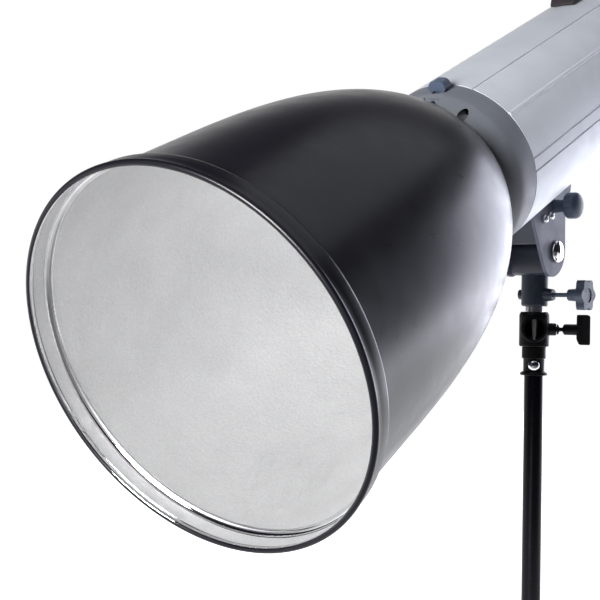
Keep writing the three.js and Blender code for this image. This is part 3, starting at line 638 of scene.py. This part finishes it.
def housing_outline(radius, sides=180):
    """Tube's outline in (x, z), with long grooves, or ribs where the depth is negative."""
    marks = [((d if half else 180 - d) % 360, depth, width)
             for d, depth, width in GROOVES for half in (0, 1)]
    stops = [(360 * i / sides, radius) for i in range(sides)]
    stops = [s for s in stops
             if all(abs((s[0] - d + 180) % 360 - 180) > w + 0.5 for d, _, w in marks)]
    for d, depth, w in marks:
        stops += [(d - w - 0.12, radius), (d - w, radius - depth * 0.12),
                  (d - w * 0.62, radius - depth * 0.88), (d - w * 0.45, radius - depth),
                  (d + w * 0.45, radius - depth), (d + w * 0.62, radius - depth * 0.88),
                  (d + w, radius - depth * 0.12), (d + w + 0.12, radius)]
    stops = sorted((a % 360, r) for a, r in stops)
    return [(r * math.cos(math.radians(a)), r * math.sin(math.radians(a))) for a, r in stops]


shell = prism(housing_outline(HOUSING_R), COLLAR_BACK + 0.3, HOUSING_BACK, "Y")
shell = cut(shell, rod(70.8, 360, 720, 128))
place(shell, "housing_extrusion", "head", LAMP, M["housing"], "housing_shell",
      smooth=24)

HALF, TOP, BOTTOM, SHEET = 46, 22, -48, 1.6
tray = [(-HALF, TOP), (-HALF, BOTTOM), (HALF, BOTTOM), (HALF, TOP), (HALF - SHEET, TOP),
        (HALF - SHEET, BOTTOM + SHEET), (SHEET - HALF, BOTTOM + SHEET), (SHEET - HALF, TOP)]
place(prism(tray, 384, 700, "Y"), "chassis_channel", "head", LAMP, M["steel"], "chassis_tray",
      bevel=0.3)
for i, x in enumerate((22.4, -22.4)):
    can = lathe([(0, 404.5), (12, 404.5), (13, 402), (18.5, 402), (20.5, 403), (21, 405),
                 (21, 498), (20, 500), (21, 502), (21, 508), (18.5, 510), (0, 510)], 64)
    place(move(can, shift(x, 0, -25)), f"storage_capacitor_can_{i + 1}", "head", LAMP,
          M["sleeve"], f"storage_capacitor_{i + 1}")
core = join(box(-28, 28, 540, 592, -46, -2), box(-20, 20, 532, 600, -40, -8))
place(core, "transformer_block", "head", LAMP, M["copper"], "transformer", bevel=1.2)
place(box(-43, 43, 396, 640, 23, 24.6), "control_circuit_board", "head", LAMP, M["board"],
      "control_board", bevel=0.2)
fan = cut(box(-20, 20, 708.5, 719.5, -29, 11), move(rod(18.3, 700, 725, 64), shift(0, 0, FAN_Z)))
place(fan, "fan_square_frame", "head", LAMP, M["black"], "fan_frame", bevel=0.8)
rotor = rod(7, 710, 718, 48)
blades = [move(box(5, 16.8, -0.7, 0.7, -4, 4),
               Matrix.Rotation(i * 2 * math.pi / 7, 4, "Y") @ shift(0, 714, 0) @ rot(40, "X"))
          for i in range(7)]
place(move(join(rotor, *blades), shift(0, 0, FAN_Z)), "fan_bladed_rotor", "fan_rotor", LAMP,
      M["black"], "fan_rotor", bevel=0.25)

# ---------------------------------------------------------------- rear of the head
cap = lathe([(HOUSING_R, HOUSING_BACK + 0.3), (HOUSING_R, 707.2), (HOUSING_R, 716),
             (HOUSING_R, 723)] + [(65.1 + 8.4 * math.cos(math.radians(a)),
                                   724 + 10 * math.sin(math.radians(a))) for a in range(6, 85, 6)]
            + [(65.2, 734), (64, 733.4), (64, 728), (69, 728), (69, HOUSING_BACK + 0.3)], 144)
grooves = [move(box(72.9, 76, 710, 720, -0.6, 0.6), rot(-d, "Y"))
           for d in range(200, 342, 6)]
place(cut(cap, *grooves), "rear_cap_moulding", "head", LAMP, M["grey_plastic"], "rear_cap",
      smooth=40)

DIAL_X, DIAL_Z = 33, 17
BUTTON_X, BUTTON_Z = 12, 21.5
SOCKET_X, SOCKET_Z = 46, -12
READY_Z, SENSOR_Z = 24.5, 55.5
VENT_R, VENT_PITCH = 16.5, 6.0
panel = rod(68.6, 724.4, PANEL_BACK, 144)
holes = [box(-16.5, 16.5, 720, 730, 32.8, 47.2)]
for x, z, r in ((DIAL_X, DIAL_Z, 3.4), (-DIAL_X, DIAL_Z, 3.4), (BUTTON_X, BUTTON_Z, 4.3),
                (-BUTTON_X, BUTTON_Z, 4.3), (0, SENSOR_Z, 3), (0, READY_Z, 1.9),
                (-SOCKET_X, SOCKET_Z, 3.6), (SOCKET_X, SOCKET_Z, 5.6)):
    holes.append(move(rod(r, 720, 730, 40), shift(x, 0, z)))
holes += [box(18.6, 33.4, 720, 730, -50.4, -31.6), box(-27.4, 3.4, 720, 730, -54.4, -31.6)]
for i in range(5):
    z = (i - 2) * VENT_PITCH
    half = math.sqrt(VENT_R ** 2 - z * z)
    low, high = z + FAN_Z - 1.6, z + FAN_Z + 1.6
    holes.append(prism(rounded([(-half, low), (half, low), (half, high), (-half, high)], 1.5),
                       720, 730, "Y"))
place(cut(panel, *holes), "rear_control_panel", "head", LAMP, M["grey_plastic"], "rear_panel",
      bevel=0.3)

lens = join(prism(rounded([(-18, 31.5), (18, 31.5), (18, 48.5), (-18, 48.5)], 2.5), 728, 729.6,
                  "Y"), box(-16.1, 16.1, 722, 728.6, 33.2, 46.8))
place(lens, "display_smoked_window", "head", LAMP, M["screen"], "display_window",
      bevel=0.25)


def seven_segments(lit, x, z, h=8.6, w=4.6, t=0.8):
    """One generic display digit as raised bars, facing back; x grows to the viewer's left."""
    bars = {"a": (0, h / 2, w, t), "g": (0, 0, w, t), "d": (0, -h / 2, w, t),
            "b": (-w / 2, h / 4, t, h / 2), "f": (w / 2, h / 4, t, h / 2),
            "c": (-w / 2, -h / 4, t, h / 2), "e": (w / 2, -h / 4, t, h / 2)}
    return [box(x + bx - bw / 2 + 0.12, x + bx + bw / 2 - 0.12, 729.62, 729.72,
                z + bz - bh / 2 + 0.12, z + bz + bh / 2 - 0.12)
            for bx, bz, bw, bh in (bars[k] for k in lit)]


digits = seven_segments("abged", 5.5, 40) + seven_segments("abcdef", -3.5, 40)
digits.append(box(0.4, 1.4, 729.62, 729.72, 35.6, 36.6))
for i, bar in enumerate(digits):
    place(bar, f"display_segment_{i + 1}", "head", LAMP, M["digits"])


def dial(x, z, name, node):
    """Knurled knob with a pointer line, and a ring of ticks on the panel."""
    body = lathe([(0, 728), (11.5, 728), (11.5, 729.4), (11, 730.2), (9.6, 731), (9.2, 732),
                  (8.9, 739.6), (8.2, 740.8), (7.4, 741.2), (0, 741.2)], 96)
    flutes = [move(rod(0.55, 732.6, 745, 10), polar(9.35, d)) for d in range(0, 360, 15)]
    flutes.append(box(-0.6, 0.6, 740.6, 743, 2, 9.6))
    knob = join(cut(body, *flutes), rod(3, 716, 729, 32))
    place(move(knob, shift(x, 0, z)), f"{name}_knurled_knob", name, LAMP, M["black"], node,
          bevel=0.2)
    line = box(-0.5, 0.5, 740.62, 740.8, 2.4, 9.2)
    place(move(line, shift(x, 0, z)), f"{name}_pointer", name, LAMP, M["white_print"])
    for k in range(11):
        tick = box(-0.25 if k % 5 else -0.45, 0.25 if k % 5 else 0.45, PANEL_BACK + 0.02,
                   PANEL_BACK + 0.12, 12.6, 14.4)
        place(move(tick, shift(x, 0, z) @ rot(-135 + 27 * k, "Y")), f"{name}_tick_{k + 1}",
              "head", LAMP, M["white_print"])


dial(DIAL_X, DIAL_Z, "power_dial", "power_dial")
dial(-DIAL_X, DIAL_Z, "modelling_dial", "modelling_dial")

for x, name in ((BUTTON_X, "test_button"), (-BUTTON_X, "slave_button")):
    button = lathe([(0, 719), (4, 719), (4, 729.8), (3.7, 730.6), (3, 731.1), (0, 731.3)], 48)
    place(move(button, shift(x, 0, BUTTON_Z)), f"{name}_cap", name, LAMP, M["black"], name)
    bezel = lathe([(4.35, 727.72), (5.6, 727.72), (5.6, 728.1), (5.2, 728.4), (4.35, 728.4)], 48)
    place(move(bezel, shift(x, 0, BUTTON_Z)), f"{name}_bezel", "head", LAMP, M["steel"])

place(move(lathe([(0, 722), (1.5, 722), (1.5, 728.2), (1.2, 729), (0, 729.4)], 32),
           shift(0, 0, READY_Z)), "ready_lamp_lens", "head", LAMP, M["digits"], "ready_lamp")
dome = lathe([(0, 722), (2.6, 722), (2.6, 728), (5.2, 728), (5.2, 729), (4.6, 729.4),
              (4.4, 730.6), (3.9, 732.4), (2.9, 734), (1.5, 734.9), (0, 735.2)], 64)
place(move(dome, shift(0, 0, SENSOR_Z)), "slave_sensor_red_dome", "head", LAMP, M["red"],
      "slave_sensor_dome")

jack = cut(join(rod(6.2, 728, 729.8, 6), rod(3.2, 712, 731, 40)), rod(1.8, 716, 733, 32))
place(move(jack, shift(-SOCKET_X, 0, SOCKET_Z)), "sync_jack_socket", "head", LAMP,
      M["steel"], "sync_jack", bevel=0.2)
fuse = lathe([(0, 702), (5.2, 702), (5.2, 728), (7.4, 728), (7.4, 732.8), (6.9, 733.8),
              (6.2, 734.2), (0, 734.2)], 64)
fuse = cut(fuse, box(-5, 5, 732.6, 736, -0.8, 0.8),
           *[move(rod(0.6, 729, 740, 10), polar(7.7, d)) for d in range(0, 360, 20)])
place(move(fuse, shift(SOCKET_X, 0, SOCKET_Z)), "fuse_cap_slotted", "fuse_cap", LAMP, M["black"],
      "fuse_cap", bevel=0.2)

bezel = join(prism(rounded([(17, -52.5), (35, -52.5), (35, -29.5), (17, -29.5)], 1.6), 728, 730,
                   "Y"), box(19, 33, 714, 729, -50, -32))
place(cut(bezel, box(20.4, 31.6, 719, 733, -48.8, -33.2)), "rocker_square_frame", "head", LAMP,
      M["black"], "rocker_frame", bevel=0.3)
paddle = prism([(-5.5, -6), (4.2, -6.3), (4.6, -5.8), (3.6, -3), (2.5, 0), (1.8, 3), (1.4, 6.3),
                (-5.5, 6)], -5, 5)
place(move(paddle, shift(26, 727, -41)), "mains_rocker_paddle", "mains_rocker", LAMP, M["black"],
      "mains_rocker", bevel=0.35)

inlet = join(prism(rounded([(-29.5, -56), (5.5, -56), (5.5, -30), (-29.5, -30)], 2), 728, 730, "Y"),
             box(-27, 3, 702, 729, -54, -32))
inlet = cut(inlet, prism(rounded([(-24.5, -51), (0.5, -51), (0.5, -38), (-3, -35), (-21, -35),
                                  (-24.5, -38)], 1.2), 709, 733, "Y"))
place(inlet, "mains_inlet_shell", "head", LAMP, M["black"], "mains_inlet",
      bevel=0.3)
for i, (x, z) in enumerate(((-18, -41), (-12, -45), (-6, -41))):
    place(box(x - 1, x + 1, 708, 724, z - 2, z + 2), f"inlet_contact_blade_{i + 1}", "head",
          LAMP, M["steel"], bevel=0.3)

# ---------------------------------------------------------------- carrying handle
grip = rounded([(622, 74), (642, 74), (646, 80), (651, 88), (658, 91.5), (680, 91.5), (688, 88),
                (692, 80), (694, 74), (708, 74), (706, 92), (700, 102), (690, 106.5),
                (663, 106.5), (650, 102.5), (638, 93.5), (628, 81)], 5)
place(prism(grip, -12, 12), "carry_handle_grip", "head", LAMP, M["rubber"], "carry_handle",
      bevel=3.2, segments=5, smooth=50)

# ---------------------------------------------------------------- tilt bracket
CHEEK = rounded([(-31.3, 49.2), (-27.6, -4), (-24, -12.5), (-17, -18.5), (-8, -20.8), (2, -19.8),
                 (10.8, -15.6), (17, -8.7), (28.3, 17.1), (33, 26), (41, 34.5), (52, 41),
                 (56, 49.2)], 5)
CHEEK_SCREWS = ((-9.7, 36.5), (2.4, 34.6))


def cross_screw(x0, dome_top, r, shank_end, shank_r):
    """Pan-head screw along +X with a cross slot; its head sits on x0."""
    head = lathe([(0, x0), (r, x0), (r, x0 + 0.3), (r * 0.96, x0 + (dome_top - x0) * 0.45),
                  (r * 0.78, x0 + (dome_top - x0) * 0.78), (r * 0.45, dome_top - 0.15),
                  (0, dome_top)], 48, "X")
    arm = r * 0.52
    cross = [box(dome_top - 1.6, dome_top + 2, -arm, arm, -0.45, 0.45),
             box(dome_top - 1.6, dome_top + 2, -0.45, 0.45, -arm, arm)]
    return join(cut(head, *cross), rod(shank_r, shank_end, x0 + 0.4, 24, "X"))


for side, tag in ((1, "right"), (-1, "left")):
    flip = ROW if side > 0 else rot(180, "Z")
    plate = prism(CHEEK, CHEEK_IN, CHEEK_OUT)
    holes = [rod(PIVOT_HOLE_R, 15, 30, 48, "X"),
             move(rod(4.4, 15, 30, 40, "X"), shift(0, CLAMP_Y, CLAMP_Z))]
    holes += [move(rod(2.4, 15, 30, 24, "X"), shift(0, y, z)) for y, z in CHEEK_SCREWS]
    plate = cut(plate, *holes)
    if side < 0:
        move(plate, shift(-CHEEK_IN - CHEEK_OUT))
    place(plate, f"bracket_cheek_plate_{tag}", "head", HEAD, M["bracket"],
          f"bracket_cheek_{tag}", bevel=0.7, segments=3)
    for i, (y, z) in enumerate(CHEEK_SCREWS):
        screw = cross_screw(CHEEK_OUT + 0.3, CHEEK_OUT + 3.1, 4.1, 12, 2)
        place(move(screw, shift(0, y, z) @ flip), f"cheek_pan_screw_{tag}_{i + 1}", "head",
              HEAD, M["steel"], f"cheek_screw_{tag}_{i + 1}", bevel=0.15)
    washer = lathe([(PIVOT_HOLE_R, WASHER_IN), (14.6, WASHER_IN), (14.6, WASHER_OUT),
                    (PIVOT_HOLE_R, WASHER_OUT)], 64, "X")
    if side < 0:
        move(washer, shift(-WASHER_IN - WASHER_OUT))
    place(washer, f"friction_disc_{tag}", "head", HEAD, M["rubber"], f"friction_washer_{tag}",
          bevel=0.3)

block = prism(rounded([(-30, 46.8), (-26.8, 17.6), (26, 17.6), (34, 28), (46, 36), (51, 46.8)], 3),
              -19, 19)
holes = [move(rod(4.5, -40, 60, 40), shift(0, 0, CLAMP_Z)),
         move(rod(3.4, 2, 25, 32, "X"), shift(0, CLAMP_Y, CLAMP_Z))]
for a, b in ((11.6, 25), (-25, -11.6)):
    holes += [move(rod(2.4, a, b, 20, "X"), shift(0, y, z)) for y, z in CHEEK_SCREWS]
place(cut(block, *holes), "umbrella_block_casting", "head", HEAD, M["slate"], "umbrella_block",
      bevel=0.6, segments=3)

knob = lathe([(0, 5.2), (3, 5.2), (3, 22.6), (6.2, 22.6), (6, 23.4), (5.6, 33), (6.4, 34.6),
              (11, 35.2), (11.8, 36), (12, 37.4), (12, 43), (11.6, 44.6), (10.4, 46.2),
              (8.2, 47.4), (5, 48.2), (0, 48.4)], 96, "X")
flutes = [move(rod(1.5, 36.8, 52, 16, "X"), rot(d, "X") @ shift(0, 13.0, 0))
          for d in range(0, 360, 24)]
place(move(cut(knob, *flutes), shift(0, CLAMP_Y, CLAMP_Z)), "umbrella_clamp_hand_knob",
      "umbrella_clamp_knob", HEAD, M["knob"], "umbrella_clamp_knob", bevel=0.3)

bolt = lathe([(0, -32.4), (4.4, -32.4), (5, -31.8), (5, 23), (10, 23), (10.3, 23.3),
              (10.3, 23.9), (9.9, 24.9), (8.8, 25.9), (7, 26.6), (4.5, 27.1), (0, 27.3)], 96, "X")
place(bolt, "pivot_bolt_domed", "head", HEAD, M["chrome"], "pivot_bolt", smooth=30)

hub = lathe([(0, -38), (7, -38), (8.2, -37.4), (9, -36.4), (9, -23.4), (8.6, -22.8),
             (0, -22.8)], 64, "X")
arm = prism(rounded([(4, -5), (40, -4.2), (56, -6), (61, -4), (63, 0), (61, 4), (56, 6),
                     (40, 4.2), (4, 5)], 3), -36.6, -27)
lever = cut(join(hub, arm), rod(PIVOT_HOLE_R, -32.8, -20, 40, "X"))
place(move(lever, rot(LEVER_DEG, "X")), "tilt_lock_hand_lever", "tilt_lock_lever", HEAD, M["black"],
      "tilt_lock_lever", bevel=1.2, segments=4, smooth=40)

# ---------------------------------------------------------------- swivel socket
py, pz = PIVOT_Y, PIVOT_Z
outline = [(py + 16.4 * math.cos(math.radians(a)), pz + 16.4 * math.sin(math.radians(a)))
           for a in range(-10, 191, 5)]
outline += [(py - 16.2, pz - 13), (py - 12.5, pz - 20), (py - 9, pz - 22), (py + 13, pz - 22),
            (py + 16.2, pz - 18)]
casting = prism(outline, -16.1, 16.1)
neck = lathe([(0, 307.6), (11, 307.6), (12, 308.4), (12.4, 309.4), (12.4, 339.5), (0, 339.5)],
             96, "Z")
boss = move(lathe([(0, 4), (6.4, 4), (6.2, 13), (5.2, 19.2), (0, 19.2)], 48, "X"),
            shift(0, 0, STAR_Z))
plug = move(rod(4.6, -15.4, -4, 40, "X"), shift(0, 0, STAR_Z))
casting = join(casting, neck, boss, plug)
casting = cut(casting, move(rod(PIVOT_HOLE_R, -30, 30, 48, "X"), shift(0, py, pz)),
              rod(8.4, 300, 334, 64, "Z"), move(rod(2.4, 0, 30, 24, "X"), shift(0, 0, STAR_Z)),
              move(rod(2.0, -17, -13.6, 6, "X"), shift(0, 0, STAR_Z)))
place(casting, "swivel_socket_casting", "swivel", ROW, M["slate"], "swivel_socket",
      bevel=0.9, segments=3)

lobes = []
for i in range(120):
    a = 2 * math.pi * i / 120
    r = 13.5 + 1.7 * math.cos(6 * a)
    lobes.append((r * math.cos(a), r * math.sin(a)))
star = join(prism(lobes, 46, 54),
            lathe([(0, 34.6), (5.2, 34.6), (5.4, 36), (6, 44), (7.4, 46.6), (0, 46.6)], 64, "X"))
star = cut(star, lathe([(0, 53.2), (6.5, 53.2), (7, 55), (0, 55)], 48, "X"))
star = join(star, rod(2, 8.4, 35, 24, "X"))
place(move(star, shift(0, 0, STAR_Z)), "star_hand_knob", "star_knob", ROW, M["knob"],
      "star_knob", bevel=1.0, segments=4, smooth=40)

# ---------------------------------------------------------------- top of the stand
pin = [(0, 271), (7.5, 271), (7.9, 271.4), (7.9, 275.2), (6.6, 276.6), (5, 277.4), (5, 295.6),
       (6.4, 296.8), (7.9, 298), (7.9, 302.8), (9.1, 302.9), (9.1, 303.8), (8.5, 304.1),
       (8.5, 304.5), (9.1, 304.8), (9.1, 305.6), (8.5, 305.9), (8.5, 306.3), (9.1, 306.6),
       (9.1, 307.2), (8, 307.4), (8, 331), (7, 332.4), (0, 332.4)]
place(lathe(pin, 96, "Z"), "spigot_ringed", "stand_top", STAND, M["chrome"], "spigot",
      smooth=30)

barrel = lathe([(0, 270.2), (13, 270.2), (13.8, 270.8), (14, 271.8), (14, 299.4), (13.6, 300.8),
                (12.4, 302.5), (0, 302.5)], 128, "Z")
ring = move(lathe([(0, -14.8), (10.6, -14.8), (11.6, -14.6), (12.2, -13.8), (12.2, 0), (0, 0)],
                  96), shift(0, 0, WINDOW_Z))
boss = move(lathe([(0, 4), (5.8, 4), (5.8, 18.8), (5.2, 20.2), (0, 20.2)], 48, "X"),
            shift(0, 0, WINDOW_Z))
collar = cut(join(barrel, ring, boss), rod(8.3, 265, 310, 64, "Z"),
             move(rod(9.4, -20, 0, 64), shift(0, 0, WINDOW_Z)),
             move(rod(2.9, 0, 25, 24, "X"), shift(0, 0, WINDOW_Z)))
place(collar, "stand_collar_body", "stand_top", STAND, M["black"], "stand_collar",
      bevel=0.5, segments=3)

stem = lathe([(0, 5.4), (2.4, 5.4), (2.4, 20.6), (4.6, 20.6), (4.8, 21.4), (4.2, 22.2),
              (1.9, 23.4), (1.9, 25.6), (4.2, 26.8), (5.1, 27.8), (5.1, 40), (0, 40)], 64, "X")
bar = rounded([(38.6, -9), (41, -14), (51, -14), (51, 12.6), (49, 14), (38.8, 14)], 1.6)
blade = prism(bar, -4.2, 4.2, "Y")
place(move(join(stem, blade), shift(0, 0, WINDOW_Z)), "cross_bar_hand_screw", "cross_bar_screw",
      STAND, M["black"], "cross_bar_screw", bevel=0.7, segments=3)

sleeve = lathe([(0, 214), (7.2, 214), (7.3, 243.4), (12, 243.4), (12.6, 243.8), (12.6, 245.4),
                (11.6, 246.2), (10.2, 246.9), (9.8, 247.6), (9.8, 258.4), (10, 258.9),
                (10.9, 259.1), (11.2, 259.6), (11.2, 269.3), (10.8, 269.9), (0, 269.9)], 96, "Z")
sleeve = cut(sleeve, move(rod(5.6, -20, -3.4, 48), shift(0, 0, SNAP_Z)))
place(sleeve, "stepped_sleeve", "stand_top", STAND, M["black"], "top_sleeve",
      smooth=28)
button = lathe([(0, -6.4), (5.2, -6.4), (5.2, -10.2), (4.9, -11.2), (4.2, -12.1), (3, -12.8),
                (1.5, -13.1), (0, -13.2)], 64)
place(move(button, shift(0, 0, SNAP_Z)), "snap_button_dome", "snap_button", STAND, M["chrome"],
      "snap_button")
place(lathe([(8.8, 3.7), (8.8, 242.7), (8.5, 243.1), (7.6, 243.1), (7.6, 3.3), (8.5, 3.3)], 96,
            "Z"), "riser_round_tube", "stand_top", STAND, M["tube"], "riser_tube")
place(lathe([(0, 0), (8.4, 0), (8.8, 0.5), (8.8, 3), (7.3, 3), (7.2, 18), (0, 18)], 96, "Z"),
      "riser_plug_cap", "stand_top", STAND, M["black"], "riser_end_plug")

# ---------------------------------------------------------------- floor, light, camera
# In metres from here on.
FLOOR_HALF, FLOOR_Z = 40, -0.001
AWAY = (-0.6, 0.8, 0)  # level, from the camera to the lamp
SWEEP = (-0.56, 0.82, 0.05)  # towards the middle of the white sweep
FADE_START = 0.8  # metres on the camera's side where the floor's shading begins
floor_mesh = bpy.data.meshes.new("studio_floor")
floor_mesh.from_pydata([(x * FLOOR_HALF, y * FLOOR_HALF, FLOOR_Z)
                        for x, y in ((-1, -1), (1, -1), (1, 1), (-1, 1))], [], [(0, 1, 2, 3)])
floor = bpy.data.objects.new("studio_floor", floor_mesh)
bpy.context.scene.collection.objects.link(floor)
floor_mat, tree, shader, coords = material("studio_floor_painted_shade")
# Painted shade: white under and behind the lamp, painted dark towards the camera's side of the room
# to stand in for a dark room, and glowing in the same colour.
along = tree.nodes.new("ShaderNodeVectorMath")
along.operation = "DOT_PRODUCT"
along.inputs[1].default_value = AWAY
tree.links.new(coords, along.inputs[0])
metres = tree.nodes.new("ShaderNodeMath")
metres.operation = "ADD"
metres.inputs[1].default_value = FADE_START
tree.links.new(along.outputs["Value"], metres.inputs[0])
# Painted shade and glow: one ramp feeds both the floor's colour and its emission, dark on the
# camera's side and white under the lamp.
painted_floor_shade = ramp(tree, metres.outputs[0], [(0.3, grey(0.06)), (0.72, grey(0.95))])
tree.links.new(painted_floor_shade, shader.inputs["Base Color"])
tree.links.new(painted_floor_shade, shader.inputs["Emission Color"])
shader.inputs["Roughness"].default_value = 0.8
shader.inputs["Emission Strength"].default_value = 1.0
floor_mesh.materials.append(floor_mat)

world = bpy.data.worlds.new("studio")
bpy.context.scene.world = world
world.use_nodes = True
tree = world.node_tree
background = tree.nodes["Background"]
# White sweep behind the lamp, darker room on the camera's side.
coords = tree.nodes.new("ShaderNodeTexCoord").outputs["Generated"]
facing = tree.nodes.new("ShaderNodeVectorMath")
facing.operation = "DOT_PRODUCT"
facing.inputs[1].default_value = SWEEP
tree.links.new(coords, facing.inputs[0])
level = ramp(tree, facing.outputs["Value"],
             [(0.1, (0.012, 0.012, 0.016)), (0.8, (0.07, 0.07, 0.09)), (0.93, grey(1.0))])
tree.links.new(level, background.inputs["Color"])
background.inputs["Strength"].default_value = 1.0


def softbox(name, location, target, size, power, colour=(1, 1, 1)):
    light = bpy.data.lights.new(name, "AREA")
    light.shape, light.size, light.size_y = "RECTANGLE", size[0], size[1]
    light.energy, light.color = power, colour
    ob = bpy.data.objects.new(name, light)
    ob.location = location
    direction = Vector(target) - Vector(location)
    ob.rotation_mode = "QUATERNION"
    ob.rotation_quaternion = direction.to_track_quat("-Z", "Y")
    bpy.context.scene.collection.objects.link(ob)
    return ob


softbox("key_front", (0.15, -2.1, 0.5), (0, -0.35, 0.3), (0.8, 0.8), 72)
softbox("rim_back", (0.12, 2.2, 0.7), (0, -0.2, 0.35), (2.2, 1.5), 42, (0.84, 0.86, 1.0))
softbox("top_back", (0.5, 0.5, 1.9), (0, 0.02, 0.5), (1.6, 1.2), 3.4, (0.93, 0.96, 1.0))

camera = bpy.data.cameras.new("camera")
camera.sensor_width = 36.0
camera.lens = 78.0
eye = bpy.data.objects.new("camera", camera)
bpy.context.scene.collection.objects.link(eye)
place_of_eye = Vector((0.55453, -1.10386, 0.3107))
right = Vector((0.79958, 0.60042, 0.01309)).normalized()
back = Vector((0.60047, -0.79965, 0.0)).normalized()
up = back.cross(right)
eye.matrix_world = (Matrix.Translation(place_of_eye)
                    @ Matrix((right, up, back)).transposed().to_4x4())
camera.clip_start, camera.clip_end = 0.05, 200
bpy.context.scene.camera = eye
bpy.context.scene.view_settings.view_transform = "Standard"
